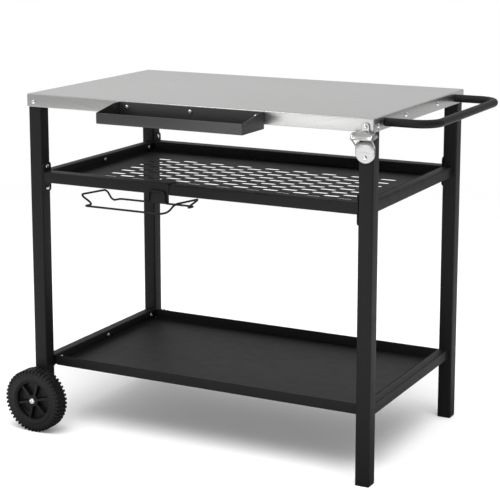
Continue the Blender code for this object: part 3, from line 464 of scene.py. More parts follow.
def screw_mesh():
    """Pan-head screw with a cross recess, pointing along Z, seated at the origin."""
    shank, length = 0.0020, 0.0085
    dome = ((0, 1), (0.30, 0.985), (0.55, 0.92), (0.76, 0.80), (0.90, 0.60), (0.98, 0.36), (1, 0.14),
            (0.97, 0))
    profile = [(SCREW_HEAD * across, SCREW_RISE * up) for across, up in dome]
    profile += [(shank, 0), (shank, -length + shank), (shank * 0.5, -length), (0, -length)]
    mesh = to_mesh(made(turned, profile, (0, 0, 0), (0, 0, 1), 32), "screw")
    wide, slim, deep = 0.0029, 0.0006, 0.0018
    for turn in (0.3, 0.3 + pi / 2):
        c, s = cos(turn), sin(turn)
        rings = []
        for z, half in ((SCREW_RISE - deep, wide * 0.45), (SCREW_RISE + 0.0005, wide)):
            corners = ((-half, -slim), (half, -slim), (half, slim), (-half, slim))
            rings.append([(u * c - v * s, u * s + v * c, z) for u, v in corners])
        mesh = combine(mesh, made(loft, rings), "DIFFERENCE")
    return mesh


SCREW = screw_mesh()


def put_screw(name, seat, axis, node=None):
    """One pan-head screw. seat is the point under its head, axis points out of the head."""
    matrix = Matrix.Translation(seat) @ frame_for(axis).to_4x4()
    dress(name, SCREW.copy(), "zinc", node, 30, matrix=matrix)


def screw_axis(node):
    """Direction that a screw node's head faces, from its name and the cart's layout."""
    if node.startswith("end_apron_screw"):
        return (-1, 0, 0) if node.endswith("left") else (1, 0, 0)
    if node.startswith("frame_screw"):
        return (1, 0, 0) if "_left_" in node else (-1, 0, 0)
    return (0, 1, 0) if "rear" in node else (0, -1, 0)


def build_screws():
    """A cross-head screw for each screw of the frame."""
    for node in sorted(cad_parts):
        if "screw" not in node:
            continue
        low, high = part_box(node)
        axis = Vector(screw_axis(node))
        middle = (low + high) / 2
        reach = max(axis.dot(low), axis.dot(high))
        seat = middle + axis * (reach - SCREW_RISE - axis.dot(middle))
        put_screw(node + "_cross_head", seat, axis, node)


def build_side_screws():
    """Screws in the shelves' end walls, three in each, and in the end aprons, two in each."""
    three = (-SHELF_SCREW_SPREAD, 0.0, SHELF_SCREW_SPREAD)
    two = (-TOP_RAIL_SCREW_SPREAD, TOP_RAIL_SCREW_SPREAD)
    rows = (("middle_shelf_screw", "middle_shelf", SHEET, 1, SHELF_SCREW_RISE, three),
            ("bottom_shelf_screw", "bottom_shelf", SHEET, 1, SHELF_SCREW_RISE, three),
            ("top_rail_screw", "tabletop", 0.0, -1, TOP_RAIL_SCREW_RISE, two))
    for name, node, sheet, way, rise, steps in rows:
        low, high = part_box(node)
        middle = (low.y + high.y) / 2
        for word, x, out in (("left", low.x + sheet, way), ("right", high.x - sheet, -way)):
            for k, step in enumerate(steps):
                seat = Vector((x, middle + step, low.z + rise))
                put_screw(f"{name}_{word}_{k + 1}", seat, (out, 0, 0))


def nut(rings, base, axis, count=36):
    """Nut that points along an axis, from rings of (radius, height, whether it is a hexagon)."""
    turn = frame_for(axis)
    loops = []
    for radius, z, hexagon in rings:
        loop = []
        for i in range(count):
            angle = 2 * pi * i / count
            sector = (angle + pi / 6) % (pi / 3) - pi / 6
            reach = radius * cos(pi / 6) / cos(sector) if hexagon else radius
            loop.append(base + turn @ Vector((reach * cos(angle), reach * sin(angle), z)))
        loops.append(loop)
    return made(loft, loops, closed=True)


def build_handle_bolts():
    """Socket-head bolts that go from inside the end apron into the handle's ends."""
    head, rise, socket, shank, length = 0.0055, 0.0040, 0.0027, 0.003, 0.031
    profile = [(0, rise * 0.35), (socket, rise * 0.35), (socket, rise * 0.94), (socket * 1.12, rise),
               (head * 0.86, rise), (head * 0.96, rise * 0.9), (head, rise * 0.72), (head, 0.0004),
               (head * 0.95, 0), (shank, 0), (shank, 0.001 - length), (0, -length)]
    for node in ("handle_bolt_front", "handle_bolt_rear"):
        low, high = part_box(node)
        middle = (low + high) / 2
        bm = made(turned, profile, (low.x + rise, middle.y, middle.z), (-1, 0, 0), 32)
        piece(node + "_socket_head", bm, "zinc", node)


def threaded(radius, start, stop, pitch):
    """Profile of a threaded end, as ridges round the shank."""
    points = []
    z = start
    while z > stop + pitch:
        points += [(radius, z), (radius, z - pitch * 0.35), (radius * 0.93, z - pitch * 0.5),
                   (radius * 0.93, z - pitch * 0.85)]
        z -= pitch
    return points


def sleeve(bore, outer, length):
    """Profile of a plain ring with broken edges."""
    ease = 0.0004
    return [(bore, ease), (bore, length - ease), (bore + ease, length), (outer - ease, length),
            (outer, length - ease), (outer, ease), (outer - ease, 0), (bore + ease, 0)]


def build_axle(word, out):
    """Domed bolt with a threaded end, the washer between leg and wheel, and the nut behind the leg."""
    axis = Vector((0, out, 0))

    def ends(part):
        """A part's inner and outer end along the axle."""
        low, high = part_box(f"{word}_axle_{part}")
        return (high.y, low.y) if out < 0 else (low.y, high.y)

    low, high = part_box(f"{word}_axle_bolt")
    middle = (low + high) / 2
    head, rise, shank, socket = 0.0075, 0.0050, 0.0040, 0.0024
    tail, end = ends("bolt")
    length = abs(end - tail) - rise
    profile = [(0, rise * 0.45), (socket, rise * 0.45), (socket, rise * 0.96), (socket * 1.15, rise * 0.985)]
    dome = ((0.55, 0.95), (0.75, 0.84), (0.90, 0.62), (0.98, 0.36), (1, 0.14), (0.97, 0))
    profile += [(head * across, rise * up) for across, up in dome]
    profile += [(shank, 0)] + threaded(shank, -length + 0.014, -length + 0.001, 0.00125)
    profile += [(shank * 0.8, -length), (0, -length)]
    bm = made(turned, profile, (middle.x, end - out * rise, middle.z), axis, 40)
    piece(f"{word}_axle_bolt_domed", bm, "zinc", f"{word}_axle_bolt")

    start, end = ends("washer")
    bore, rim = 0.0043, 0.0094
    bm = made(turned, sleeve(bore, rim, abs(end - start)), (middle.x, start, middle.z), axis, 40)
    piece(f"{word}_axle_washer_flat", bm, "zinc", f"{word}_axle_washer")

    start, end = ends("nut")
    tall = abs(end - start)
    outer, chamfer = 0.0075, 0.0007
    rings = ((outer * 0.87, 0, False), (outer, chamfer, True), (outer, tall - chamfer, True),
             (outer * 0.87, tall, False), (bore * 1.12, tall, False), (bore, tall - chamfer, False),
             (bore, chamfer, False), (bore * 1.12, 0, False))
    bm = nut(rings, Vector((middle.x, end, middle.z)), -axis)
    piece(f"{word}_axle_nut_hex", bm, "zinc", f"{word}_axle_nut", 25)


# Frame

def build_tabletop():
    """Folded pan: top sheet, bent aprons and a hem turned inside along their lower edge."""
    low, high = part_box("tabletop")
    lip = HEM / 2
    shoulder = high.z - TOP_BEND
    hem_top = low.z + HEM_HEIGHT
    section = [(TOP_BEND - r, shoulder + z) for r, z in arc((0, 0), TOP_BEND, 90, 0, 6)]
    section += [(lip - r, low.z + lip + z) for r, z in arc((0, 0), lip, 0, -180, 8)]
    section += [(HEM, hem_top - EDGE), (HEM - EDGE, hem_top), (TOP_SHEET, hem_top)]
    section += [(TOP_BEND - r, shoulder + z) for r, z in arc((0, 0), TOP_BEND - TOP_SHEET, 0, 90, 4)]
    piece("worktop_pan", pan(low, high, TOP_BEND, section), "stainless", "tabletop", 30)


def build_stiffener():
    """Channel under the worktop, open at the top."""
    low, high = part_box("top_stiffener")
    bend = 0.0025
    small = bend - SHEET
    deep = high.z - low.z
    half = (high.y - low.y) / 2
    middle = (high.y + low.y) / 2
    near, far = (-half + bend, bend), (half - bend, bend)
    section = [(-half, deep)] + arc(near, bend, 180, 270, 4) + arc(far, bend, 270, 360, 4)
    section += [(half, deep), (half - SHEET, deep)] + arc(far, small, 360, 270, 4)
    section += arc(near, small, 270, 180, 4) + [(-half + SHEET, deep)]
    bm = bar(low.x, high.x, [(middle + y, low.z + z) for y, z in section])
    piece("top_stiffener_channel", bm, "galvanised", "top_stiffener", 30)


def build_legs():
    for end in ("front", "rear"):
        for side in ("left", "right"):
            node = f"{end}_{side}_leg"
            bm = made(square_tube, *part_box(node), "z", LEG_WALL, LEG_CORNER, 6)
            piece(node + "_tube", bm, "black_coat", node)
            build_plug(end, side)


def build_plug(end, side):
    """Moulded foot or end cap: a rounded plate with a ribbed plug that goes up into the leg."""
    node, plate = (f"{end}_{side}_foot", 0.005) if side == "right" else (f"{end}_{side}_leg_cap", 0.003)
    low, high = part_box(node)
    edge = ((0.0014, 0.0), (0.0007, 0.0002), (0.0002, 0.0007), (0.0, 0.0014))
    rows = [(inset, low.z + rise, LEG_CORNER - inset) for inset, rise in edge]
    plug, corner, pitch = 0.0018, 0.002, 0.0032
    ribs = ((plug, 0.0012), (plug + 0.0008, 0.0016), (plug + 0.0008, 0.0026), (plug, 0.0030))
    z = low.z + plate
    rows += [(0.0, z, LEG_CORNER), (plug, z, corner)]
    while z < high.z - 0.004:
        rows += [(inset, z + rise, corner) for inset, rise in ribs]
        z += pitch
    rows.append((plug + 0.0010, high.z, corner))
    piece(node + "_moulding", stack(low, high, rows, 5), "black_plastic", node, 30)


def weld_bead(centre, width, height, at, away, inward):
    """Fillet round a side rail's end where it meets a leg. It leaves the shelf's side free."""
    bead = 0.0016
    rings = []
    for grow, move in ((0.0, bead * 1.3), (bead * 0.35, bead * 0.55), (bead * 0.95, bead * 0.12), (bead, 0.0),
                       (-0.0006, 0.0)):
        corner = RAIL_CORNER + max(grow, 0)
        outline = rounded_rectangle(-width, width, -height, height, corner, 6, -grow)
        outline = [(min(u, width) if inward > 0 else max(u, -width), v) for u, v in outline]
        rings.append([place_on("y", centre, u, v, at + away * move) for u, v in outline])
    return made(loft, rings, closed=True)


def build_side_rails():
    for level in ("top", "middle", "bottom"):
        for side, inward in (("left", 1), ("right", -1)):
            node = f"{level}_{side}_rail"
            low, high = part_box(node)
            bm = made(square_tube, low, high, "y", RAIL_WALL, RAIL_CORNER)
            piece(node + "_tube", bm, "black_coat", node)
            if level == "top":
                continue
            width, height = (high.x - low.x) / 2, (high.z - low.z) / 2
            for word, at, away in (("front", low.y, 1), ("rear", high.y, -1)):
                bm = weld_bead((low + high) / 2, width, height, at, away, inward)
                piece(f"{node}_weld_{word}", bm, "black_coat", angle=50)


def build_long_rails():
    """Middle shelf's long rails: tube, an end plate on each end and a vent hole near each end."""
    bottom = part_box("middle_shelf")[0].z
    middle = bottom + LONG_RAIL_HEIGHT / 2 - END_PLATE_DROP
    for end in ("front", "rear"):
        node = f"middle_{end}_rail"
        low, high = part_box(node)
        leg_low, leg_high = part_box(f"{end}_left_leg")
        if end == "front":
            y0, y1 = high.y - LONG_RAIL_DEPTH, high.y
        else:
            y0, y1 = low.y, low.y + LONG_RAIL_DEPTH
        start = (low.x + END_PLATE / 2, y0, bottom)
        stop = (high.x - END_PLATE / 2, y1, bottom + LONG_RAIL_HEIGHT)
        mesh = to_mesh(made(square_tube, start, stop, "x", RAIL_WALL, RAIL_CORNER))
        height = (high.z - low.z) / 2
        for x in (low.x, high.x - END_PLATE):
            far = x + END_PLATE
            rings = []
            for along, inset in ((x, END_EASE), (x + END_EASE, 0), (far - END_EASE, 0), (far, END_EASE)):
                outline = rounded_rectangle(leg_low.y, leg_high.y, middle - height, middle + height,
                                            END_PLATE_CORNER - inset, 8, inset)
                rings.append([(along, y, z) for y, z in outline])
            mesh = combine(mesh, made(loft, rings), "UNION")
        for x in (-VENT_X, VENT_X):
            hole = [(0, 0), (VENT_RADIUS, 0), (VENT_RADIUS, 0.004), (0, 0.004)]
            place = ((low.x + high.x) / 2 + x, (y0 + y1) / 2, bottom - 0.002)
            mesh = combine(mesh, made(turned, hole, place, (0, 0, 1), 24), "DIFFERENCE")
        dress(node + "_welded", mesh, "black_coat", node, 30)


# Shelves and tray

def pan_section(bottom, top):
    """Section of a tray's sheet: underside, bend, outer wall, rounded edge, inner wall, bend, floor."""
    bend, lip = SHELF_BEND, SHEET / 2
    section = [(bend - r, bottom + bend + z) for r, z in arc((0, 0), bend, -90, 0, 5)]
    section += [(lip - r, top - lip + z) for r, z in arc((0, 0), lip, 0, 180, 6)]
    return section + [(bend - r, bottom + bend + z) for r, z in arc((0, 0), bend - SHEET, 0, -90, 4)]


def slot_cutter(low, high):
    """Staggered slots: every other column has one slot less."""
    columns, rows = 17, 7
    half = SLOT_WIDTH / 2
    shoulder = SLOT_LENGTH / 2 - half
    outline = arc((shoulder, 0), half, -90, 90, 8) + arc((-shoulder, 0), half, 90, 270, 8)
    bm = bmesh.new()
    for column in range(columns):
        count = rows - column % 2
        x = (low.x + high.x) / 2 + (column - (columns - 1) / 2) * SLOT_COLUMN_PITCH
        for row in range(count):
            y = (low.y + high.y) / 2 + (row - (count - 1) / 2) * SLOT_ROW_PITCH
            loft(bm, [[(x + u, y + v, z) for u, v in outline] for z in (low.z - SHEET, low.z + 2 * SHEET)])
    return bm


def corner_notches(mesh, low, high):
    """Chamfer the lower corners of the front and rear walls, where the sheet was relieved for its bends."""
    wide, tall, deep, over = 0.008, 0.005, 0.006, 0.002
    tool = bmesh.new()
    for x, inward in ((low.x, 1), (high.x, -1)):
        outer, inner = x - inward * over, x + inward * wide
        corners = [(outer, low.z - over), (inner, low.z - over), (inner, low.z), (x, low.z + tall),
                   (outer, low.z + tall)]
        for y, back in ((low.y, 1), (high.y, -1)):
            loft(tool, [[(u, v, z) for u, z in corners] for v in (y - back * over, y + back * deep)])
    return combine(mesh, tool, "DIFFERENCE")


def build_shelf(node, slotted):
    low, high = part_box(node)
    mesh = to_mesh(pan(low, high, SHELF_CORNER, pan_section(low.z, high.z)))
    if slotted:
        mesh = combine(mesh, slot_cutter(low, high), "DIFFERENCE")
    mesh = corner_notches(mesh, low, high)
    dress(node + "_pan", mesh, "black_coat", node, 30)


def build_seasoning_tray():
    """Folded tray: high back, level shoulders, side walls sloping to a low front."""
    low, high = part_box("seasoning_tray")
    mesh = to_mesh(pan(low, high, TRAY_CORNER, pan_section(low.z, high.z)))
    over = 0.01
    edge = high.y - TRAY_LEVEL_EDGE
    slope = (high.z - low.z - TRAY_FRONT) / (edge - low.y)
    cut = [(edge, high.z), (low.y - over, low.z + TRAY_FRONT - slope * over), (low.y - over, high.z + over),
           (edge, high.z + over)]
    mesh = combine(mesh, bar(low.x - over, high.x + over, cut), "DIFFERENCE")
    dress("seasoning_tray_pan", mesh, "black_coat", "seasoning_tray", 30, look="tray_coat")


def build_tray_nuts():
    """Nuts behind the front apron, on the tray's screws."""
    tall, outer, bore = 0.0032, 0.0040, 0.0021
    rings = ((outer, 0.0, True), (outer, tall - 0.0004, True), (outer * 0.87, tall, False),
             (bore, tall, False), (bore, 0.0, False))
    for word in ("left", "middle", "right"):
        low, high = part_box(f"tray_screw_{word}")
        seat = (low + high) / 2
        seat.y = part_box("tabletop")[0].y + TOP_SHEET + TOUCH
        piece(f"tray_nut_{word}", nut(rings, seat, (0, 1, 0)), "zinc", angle=25)


# Handle

def build_handle():
    """Bent tube. The solid's has flat sides, so its box is a hair narrower than the round tube."""
    low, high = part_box("handle")
    radius, bend = 0.009, 0.045
    near, far = low.y + radius * 0.99, high.y - radius * 0.99
    reach = high.x - radius
    z = (low.z + high.z) / 2
    path = filleted([(low.x, near, z), (reach, near, z), (reach, far, z), (low.x, far, z)], bend, 16)
    piece("handle_tube", made(sweep, path, radius, 32), "black_coat", "handle")


# Bag holder

def build_bag_holder():
    """Wire ring with a raised ear on each side and a loop at the back, and the plate that hooks it on."""
    low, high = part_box("bag_holder_wire")
    cx = (low.x + high.x) / 2
    radius, reach, rise = 0.00225, 0.144, 0.010
    half, ear, jog, flare, lift = 0.095, 0.119, 0.032, 0.013, 0.021
    loop, loop_rise = 0.0205, 0.026
    far = reach - jog

    def at(across, forward, up=0.0):
        z = low.z + radius + rise / reach * forward + up
        return Vector((cx + across, high.y - radius - forward, z))

    right = [at(loop, 0, loop_rise), at(loop, 0), at(half, 0), at(half, jog), at(ear, jog - flare, lift),
             at(ear, far + flare, lift), at(half, far), at(half, reach)]
    left = [Vector((2 * cx - p.x, p.y, p.z)) for p in reversed(right)]
    path = filleted(right + left, 0.007, 6, closed=True)
    bm = made(sweep, path, radius, 16, closed=True)
    piece("bag_ring_wire", bm, "black_coat", "bag_holder_wire", body="bag_holder")

    low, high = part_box("bag_holder_hook")
    sheet, bend, lip = 0.0015, 0.0022, 0.012
    front, rear = (low.y + bend, high.z - bend), (high.y - bend, high.z - bend)
    section = [(low.y, low.z)] + arc(front, bend, 180, 90, 5) + arc(rear, bend, 90, 0, 5)
    section += [(high.y, high.z - lip), (high.y - sheet, high.z - lip)] + arc(rear, bend - sheet, 0, 90, 4)
    section += arc(front, bend - sheet, 90, 180, 4) + [(low.y + sheet, low.z)]
    bm = bar(low.x, high.x, section)
    piece("bag_hook_plate", bm, "black_coat", "bag_holder_hook", 30, body="bag_holder", bevel=EDGE)


# Bottle opener

def smooth_steps(stations, steps):
    """Points of a smooth curve through a list of equal tuples."""
    path = []
    count = len(stations)
    for i in range(count - 1):
        a, b, c, d = (stations[max(i - 1, 0)], stations[i], stations[i + 1], stations[min(i + 2, count - 1)])
        for k in range(steps):
            t = k / steps
            row = []
            for p, q, r, s in zip(a, b, c, d):
                row.append(0.5 * (2 * q + (r - p) * t + (2 * p - 5 * q + 4 * r - s) * t * t
                                  + (3 * q - p - 3 * r + s) * t ** 3))
            path.append(row)
    path.append(list(stations[-1]))
    return path


def shell(bm, rows, wall):
    """Closed sheet of even thickness behind a grid of points."""
    count = len(rows)
    width = len(rows[0])
    grid = [[Vector(p) for p in row] for row in rows]
    behind = []
    for i in range(count):
        row = []
        for j in range(width):
            down = grid[min(i + 1, count - 1)][j] - grid[max(i - 1, 0)][j]
            across = grid[i][min(j + 1, width - 1)] - grid[i][max(j - 1, 0)]
            row.append(grid[i][j] - across.cross(down).normalized() * wall)
        behind.append(row)
    front = [[bm.verts.new(p) for p in row] for row in grid]
    rear = [[bm.verts.new(p) for p in row] for row in behind]
    for i in range(count - 1):
        for j in range(width - 1):
            bm.faces.new((front[i][j], front[i + 1][j], front[i + 1][j + 1], front[i][j + 1]))
            bm.faces.new((rear[i][j], rear[i][j + 1], rear[i + 1][j + 1], rear[i + 1][j]))
    for i in range(count - 1):
        bm.faces.new((front[i][0], rear[i][0], rear[i + 1][0], front[i + 1][0]))
        bm.faces.new((front[i][-1], front[i + 1][-1], rear[i + 1][-1], rear[i][-1]))
    for j in range(width - 1):
        bm.faces.new((front[0][j], front[0][j + 1], rear[0][j + 1], rear[0][j]))
        bm.faces.new((front[-1][j], rear[-1][j], rear[-1][j + 1], front[-1][j + 1]))


# The opener's hood, from the wall to its rim: half width, reach, then how far below the top of the
# casting its lower edge, its shoulder and its middle lie.
HOOD = (
    (0.0256, 0.0006, 0.0284, 0.0262, 0.0172),
    (0.0254, 0.0070, 0.0298, 0.0238, 0.0206),
    (0.0248, 0.0130, 0.0312, 0.0222, 0.0242),
    (0.0242, 0.0176, 0.0324, 0.0240, 0.0276),
    (0.0236, 0.0208, 0.0334, 0.0294, 0.0314),
    (0.0232, 0.0226, 0.0342, 0.0338, 0.0330),
)
HOOD_WALL = 0.0024
HOOD_BOW = 0.0002            # how far its middle stands out in front of its sides
RIM_BEAD = 0.0011
TAB_HALF = 0.0095
PLATE_THICK = 0.0035
PLATE_HALF = 0.0221
LIP_REACH = 0.0066
LIP_LIFT = 0.0034
MOUTH_DROP = 0.0480          # from the top of the casting to the lip
# The tab's outline: how far below the top, and its share of TAB_HALF
TAB = ((0.0, 0.30), (0.0008, 0.60), (0.0030, 0.88), (0.0070, 1.0), (0.0130, 1.03), (0.0165, 1.10),
       (0.0190, 1.20), (0.0215, 1.30))
# The lip: how far below the mouth, share of PLATE_HALF, reach, and share of LIP_LIFT
LIP = (
    (-0.0078, 0.80, 0.0036, 0.9),
    (-0.0050, 0.90, 0.0048, 1.0),
    (-0.0014, 0.965, 0.0060, 1.0),
    (0.0012, 0.99, LIP_REACH, 1.0),
    (0.0050, 1.0, LIP_REACH, 0.75),
    (0.0090, 1.0, LIP_REACH * 0.88, 0.4),
    (0.0125, 1.0, LIP_REACH * 0.70, 0.1),
)
# The struts from the hood's rim to the lip: across, reach and how far below the top
STRUT = (
    (0.0226, 0.0212, HOOD[-1][2] - 0.0008),
    (0.0218, 0.0110, (HOOD[-1][2] + MOUTH_DROP) / 2 + 0.0006),
    (0.0206, 0.0018, MOUTH_DROP + 0.0030),
)
STRUT_RADIUS = 0.0015


def hood_row(half, reach, edge, shoulder, middle):
    """One row of the hood from side to side, as (across, reach, drop)."""
    rise = shoulder - middle
    right = [(0.40, middle + rise * 0.12), (0.73, middle + rise * 0.50), (0.96, shoulder), (1.0, edge)]
    row = [(-share, drop) for share, drop in reversed(right)] + [(0.0, middle)] + right
    return [(share * half, reach + HOOD_BOW * (1 - share * share), drop) for share, drop in row]


def opener_parts(cx, back, top, height):
    """Closed solids that make up the casting: hood, rim, tab, plate with its lip, and two struts."""
    bm = bmesh.new()

    def at(across, out, drop):
        return Vector((cx + across, back - out, top - drop))

    rows = [smooth_steps(hood_row(*station), 4) for station in smooth_steps(HOOD, 4)]
    shell(bm, [[at(*p) for p in row] for row in rows], HOOD_WALL)
    sweep(bm, [at(across, out - RIM_BEAD * 0.4, drop) for across, out, drop in rows[-1]], RIM_BEAD, 10)

    rings = []
    for drop, share in smooth_steps(TAB, 3):
        rings.append([at(u, v, drop) for u, v in slab(TAB_HALF * share, PLATE_THICK)])
    loft(bm, rings)

    rows = [(MOUTH_DROP + drop, share, reach, LIP_LIFT * lift) for drop, share, reach, lift in LIP]
    for i in range(10):
        angle = pi / 2 * i / 10
        rows.append((height - PLATE_HALF + PLATE_HALF * sin(angle), cos(angle), PLATE_THICK, 0.0))
    rows.append((height, 0.06, PLATE_THICK, 0.0))
    rings = []
    for drop, share, reach, lift in rows:
        half = PLATE_HALF * share
        outline = slab(half, reach) if reach <= PLATE_THICK else bulge(half, reach)
        rings.append([at(u, v, drop - lift * (1 - (u / half) ** 2)) for u, v in outline])
    loft(bm, rings)

    for side in (-1, 1):
        strut = [at(side * across, out, drop) for across, out, drop in STRUT]
        sweep(bm, smooth_steps(strut, 6), STRUT_RADIUS, 10)
    return bm


def slab(half, reach, count=25):
    """Flat plate's outline with softly rounded front corners."""
    corner = min(half, reach) * 0.45
    outline = [(half, 0.0), (-half, 0.0)]
    left = arc((-half + corner, reach - corner), corner, 180, 90, (count - 1) // 2)
    return outline + left + [(-u, v) for u, v in reversed(left)][:count - len(left)]


def bulge(half, reach, count=25):
    """Outline that swells forward from a plate's edges."""
    outline = [(half, 0.0), (-half, 0.0)]
    skirt = PLATE_THICK * 0.7
    for i in range(count):
        angle = pi * i / (count - 1)
        outline.append((-half * cos(angle), skirt + (reach - skirt) * sin(angle) ** 0.8))
    return outline


def build_opener():
    """Cast opener. Its solids are run together and smoothed, as a casting's corners are."""
    low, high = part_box("bottle_opener")
    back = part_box("tabletop")[0].y - TOUCH
    bm = opener_parts((low.x + high.x) / 2, back, high.z, high.z - low.z)
    screw_low, screw_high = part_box("opener_screw_low")
    centre = (screw_low + screw_high) / 2
    boss = [(0, 0), (0.005, 0), (0.005, high.y - back + 0.001), (0, high.y - back + 0.001)]
    turned(bm, boss, (centre.x, back - 0.001, centre.z), (0, 1, 0), 24)
    obj = bpy.data.objects.new("opener_work", to_mesh(bm))
    bpy.context.scene.collection.objects.link(obj)
    remesh = obj.modifiers.new("remesh", "REMESH")
    remesh.mode = "VOXEL"
    remesh.voxel_size = 0.0005
    soften = obj.modifiers.new("soften", "SMOOTH")
    soften.factor = 0.5
    soften.iterations = 3
    bpy.context.view_layer.update()
    graph = bpy.context.evaluated_depsgraph_get()
    cast = bpy.data.meshes.new_from_object(obj.evaluated_get(graph), depsgraph=graph)
    bpy.data.objects.remove(obj, do_unlink=True)
    dress("bottle_opener_casting", cast, "cast_steel", "bottle_opener", 60)


# Wheels

def build_tyre(word, x, inner, out, width, radius):
    """Tyre with two staggered rows of lugs that wrap over the shoulders, and a thin centre rib."""
    lugs, deep, bead = 46, 0.0021, 0.0473
    tread = radius - deep
    # Half of the section as (radius, share of the width), then where a lug moves some of its points
    half = [
        (bead, 0.060), (bead + 0.0012, 0.030), (bead + 0.0030, 0.022), (bead + 0.0038, 0.003),
        (bead + 0.0050, 0.003), (bead + 0.0058, 0.018), (tread - 0.0120, 0.006), (tread - 0.0090, 0.014),
        (tread - 0.0035, 0.060), (tread, 0.140), (tread, 0.440), (tread + 0.0016, 0.462),
    ]
    blocks = {7: (tread - 0.0090, 0.006), 8: (tread - 0.0010, 0.004), 9: (tread + deep, 0.045),
              10: (tread + deep, 0.440)}
    profile = half + [(r, 1 - s) for r, s in reversed(half)]
    count = len(profile)
    steps = 4 * lugs
    bm = bmesh.new()
    rings = []
    for i in range(steps):
        angle = 2 * pi * i / steps
        rings.append([bm.verts.new((x + r * sin(angle), inner + out * width * share, radius - r * cos(angle)))
                      for r, share in profile])
    rows = {7: 0, 8: 0, 9: 0, count - 9: 2, count - 10: 2, count - 11: 2}
    raised = []
    for i, (low, high) in enumerate(zip(rings, rings[1:] + rings[:1])):
        for k in range(count):
            n = (k + 1) % count
            face = bm.faces.new((low[k], low[n], high[n], high[k]))
            if k in rows and (i + rows[k]) % 4 < 2:
                raised.append(face)
    bmesh.ops.recalc_face_normals(bm, faces=bm.faces)
    result = bmesh.ops.extrude_face_region(bm, geom=raised)
    bmesh.ops.delete(bm, geom=raised, context="FACES")
    for vert in [g for g in result["geom"] if isinstance(g, bmesh.types.BMVert)]:
        away = Vector((vert.co.x - x, 0, vert.co.z - radius))
        share = (vert.co.y - inner) * out / width
        mirrored = share > 0.5
        near = [(abs(profile[k][0] - away.length) + abs(profile[k][1] - min(share, 1 - share)) * width, k)
                for k in blocks]
        reach, share = blocks[min(near)[1]]
        vert.co = Vector((x, inner + out * width * (1 - share if mirrored else share), radius))
        vert.co += away.normalized() * reach
    piece(f"{word}_tyre_lugged", bm, "rubber", f"{word}_tyre", 40, body=f"{word}_wheel", bevel=0.00035,
          segments=1)


def build_rim(word, x, inner, out, width, radius):
    """Moulded centre: barrel, web, six ribs, and a hub with a raised ring round its bore."""
    rim, bore, hub, ease = 0.047, 0.0065, 0.0135, 0.0008
    barrel = rim - 0.003
    web = width - 0.016
    face = width - 0.002
    hub_face = width - BUSH_SETBACK
    profile = [
        (bore, 0.0), (hub - ease, 0.0), (hub, ease), (hub + 0.001, web - 0.0035), (hub + 0.003, web - 0.0025),
        (barrel - 0.003, web - 0.0025), (barrel - 0.0005, web - 0.0045), (barrel, 0.003),
        (barrel + ease, 0.002), (rim, 0.002), (rim, face), (rim - 0.0008, face),
        (rim - 0.0012, face - 0.0006), (barrel + ease, face - 0.0006), (barrel, face - 0.0014),
        (barrel - 0.0006, web + 0.002), (barrel - 0.003, web), (hub + 0.003, web),
        (hub + 0.0008, web + 0.002), (hub, hub_face - 0.0012),
        (hub - 0.0008, hub_face - 0.0003), (hub - 0.0016, hub_face), (bore + 0.0026, hub_face),
        (bore + 0.0022, hub_face - 0.0007), (bore, hub_face - 0.0007),
    ]
    mesh = to_mesh(made(turned, profile, (x, inner, radius), (0, out, 0), 96))
    ribs, foot, crest = 6, 0.0036, 0.0026
    root = inner + out * (web - 0.001)
    for i in range(ribs):
        rings = []
        for reach, drop in ((hub - 0.0015, 0.0050), (barrel + 0.001, 0.0065)):
            tip = inner + out * (width - drop)
            corners = ((root, -foot), (root, foot), (tip, crest), (tip, -crest))
            rings.append([(reach, y, z) for y, z in corners])
        rib = made(loft, rings)
        turn = Matrix.Rotation(2 * pi * (i + 0.75) / ribs, 4, "Y")
        bmesh.ops.transform(rib, verts=rib.verts, matrix=Matrix.Translation((x, 0, radius)) @ turn)
        mesh = combine(mesh, rib, "UNION")
    dress(f"{word}_rim_moulded", mesh, "black_plastic", f"{word}_rim", 30, body=f"{word}_wheel", bevel=EDGE)


def build_wheel(word, out):
    low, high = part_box(f"{word}_tyre")
    x = (low.x + high.x) / 2
    inner = high.y if out < 0 else low.y
    width = high.y - low.y
    build_tyre(word, x, inner, out, width, WHEEL_RADIUS - TYRE_EASE)
    build_rim(word, x, inner, out, width, WHEEL_RADIUS)
    bore, outer = 0.0042, 0.0061
    profile = sleeve(bore, outer, width - BUSH_SETBACK)
    bm = made(turned, profile, (x, inner, WHEEL_RADIUS), (0, out, 0), 40)
    piece(f"{word}_bush_sleeve", bm, "nylon", f"{word}_bush", body=f"{word}_wheel")


# Stage, light and camera

def build_stage():
    """Pale round floor that thins out into the white backdrop. Close by, the cart sees it darker."""
    reach, corners = 6.0, 64
    angles = [2 * pi * i / corners for i in range(corners)]
    bm = bmesh.new()
    bm.faces.new([bm.verts.new((reach * cos(a), reach * sin(a), -0.0002)) for a in angles])
    mesh = to_mesh(bm, "floor")
    material, graph = new_material("floor_paint", 0.8, 0.0)
    paint = graph.shader
    place = graph.place()
    away = graph.add("ShaderNodeVectorMath", {0: place}, operation="LENGTH").outputs["Value"]
    graph.feed(paint, {
        "Base Color": graph.tint(graph.noise(place, 0.6, 2.0), (1.0, 1.0, 1.0), 0.90, 0.93),
        "Alpha": graph.spread(away, 1.0, 0.0, 1.5, 3.4),
        "Specular IOR Level": 0.1,
        "Emission Color": (1.0, 1.0, 1.0, 1.0),
        "Emission Strength": 0.15,
    })
    dim = graph.add("ShaderNodeBsdfDiffuse", {"Color": (0.30, 0.30, 0.30, 1.0)})
    near = graph.mix(graph.spread(away, 0.0, 1.0, 0.55, 0.90), dim, paint)
    seen = graph.add("ShaderNodeLightPath").outputs["Is Camera Ray"]
    surface = graph.mix(seen, near, paint).outputs["Shader"]
    graph.feed(graph.tree.nodes["Material Output"], {"Surface": surface})
    mesh.materials.append(material)
    floor = bpy.data.objects.new("floor", mesh)
    bpy.context.scene.collection.objects.link(floor)


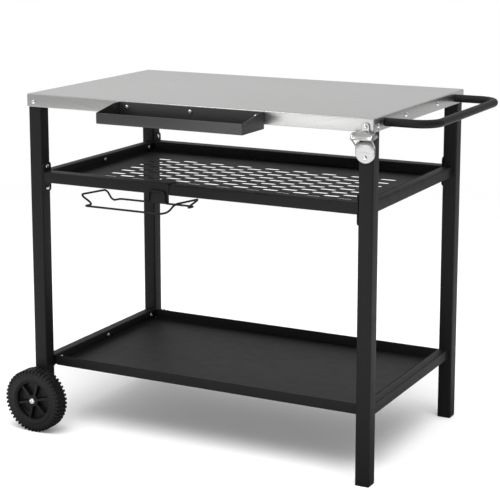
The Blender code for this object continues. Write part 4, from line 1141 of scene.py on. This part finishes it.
def build_world():
    """White to the eye. In reflections it is brighter at the back left and overhead than at the right."""
    world = bpy.data.worlds.new("studio")
    graph = Graph(world, "Background")
    ray = graph.add("ShaderNodeTexCoord").outputs["Generated"]
    lean = graph.add("ShaderNodeVectorMath", {0: ray, 1: (-0.26, 0.16, 0.12)}, operation="DOT_PRODUCT")
    level = graph.math("ADD", lean.outputs["Value"], 0.52)
    seen = graph.add("ShaderNodeLightPath").outputs["Is Camera Ray"]
    mix = graph.add("ShaderNodeMix", {"Factor": seen, "A": level, "B": 1.0}, data_type="FLOAT")
    graph.feed(graph.shader, {"Color": (1.0, 1.0, 1.0, 1.0), "Strength": mix.outputs["Result"]})
    bpy.context.scene.world = world


def add_panel(name, place, target, width, height, power):
    light = bpy.data.lights.new(name, "AREA")
    light.shape = "RECTANGLE"
    light.size = width
    light.size_y = height
    light.energy = power
    obj = bpy.data.objects.new(name, light)
    obj.location = place
    obj.rotation_mode = "QUATERNION"
    obj.rotation_quaternion = (Vector(target) - Vector(place)).to_track_quat("-Z", "Y")
    obj.visible_camera = False
    bpy.context.scene.collection.objects.link(obj)
    return obj


def build_lights():
    overhead = add_panel("overhead", (0.7, -0.9, 3.2), (0, 0, 0.4), 3.2, 2.6, 140.0)
    overhead.visible_glossy = False
    add_panel("strip", (-0.9, -1.8, 2.5), (0, 0, 0.6), 1.4, 0.9, 14.0)
    add_panel("front_panel", (-0.58, -3.1, 0.50), (0.2, 0, 0.6), 1.15, 1.2, 7.3)
    add_panel("back_panel", (1.6, 2.6, 0.5), (0.4, 0, 0.6), 1.4, 1.0, 0.6)


def build_camera():
    data = bpy.data.cameras.new("camera")
    data.sensor_width = 36.0
    data.lens = LENS
    data.shift_y = SHIFT
    camera = bpy.data.objects.new("camera", data)
    camera.location = EYE
    camera.rotation_euler = (radians(90 - PITCH), 0, radians(YAW))
    bpy.context.scene.collection.objects.link(camera)
    bpy.context.scene.camera = camera
    bpy.context.scene.view_settings.view_transform = "Standard"


build_camera()
build_stage()
build_world()
build_lights()
build_tabletop()
build_stiffener()
build_legs()
build_side_rails()
build_long_rails()
build_shelf("middle_shelf", True)
build_shelf("bottom_shelf", False)
build_seasoning_tray()
build_tray_nuts()
build_handle()
build_handle_bolts()
build_opener()
build_screws()
build_side_screws()
build_bag_holder()
build_wheel("front", -1)
build_wheel("rear", 1)
build_axle("front", -1)
build_axle("rear", 1)
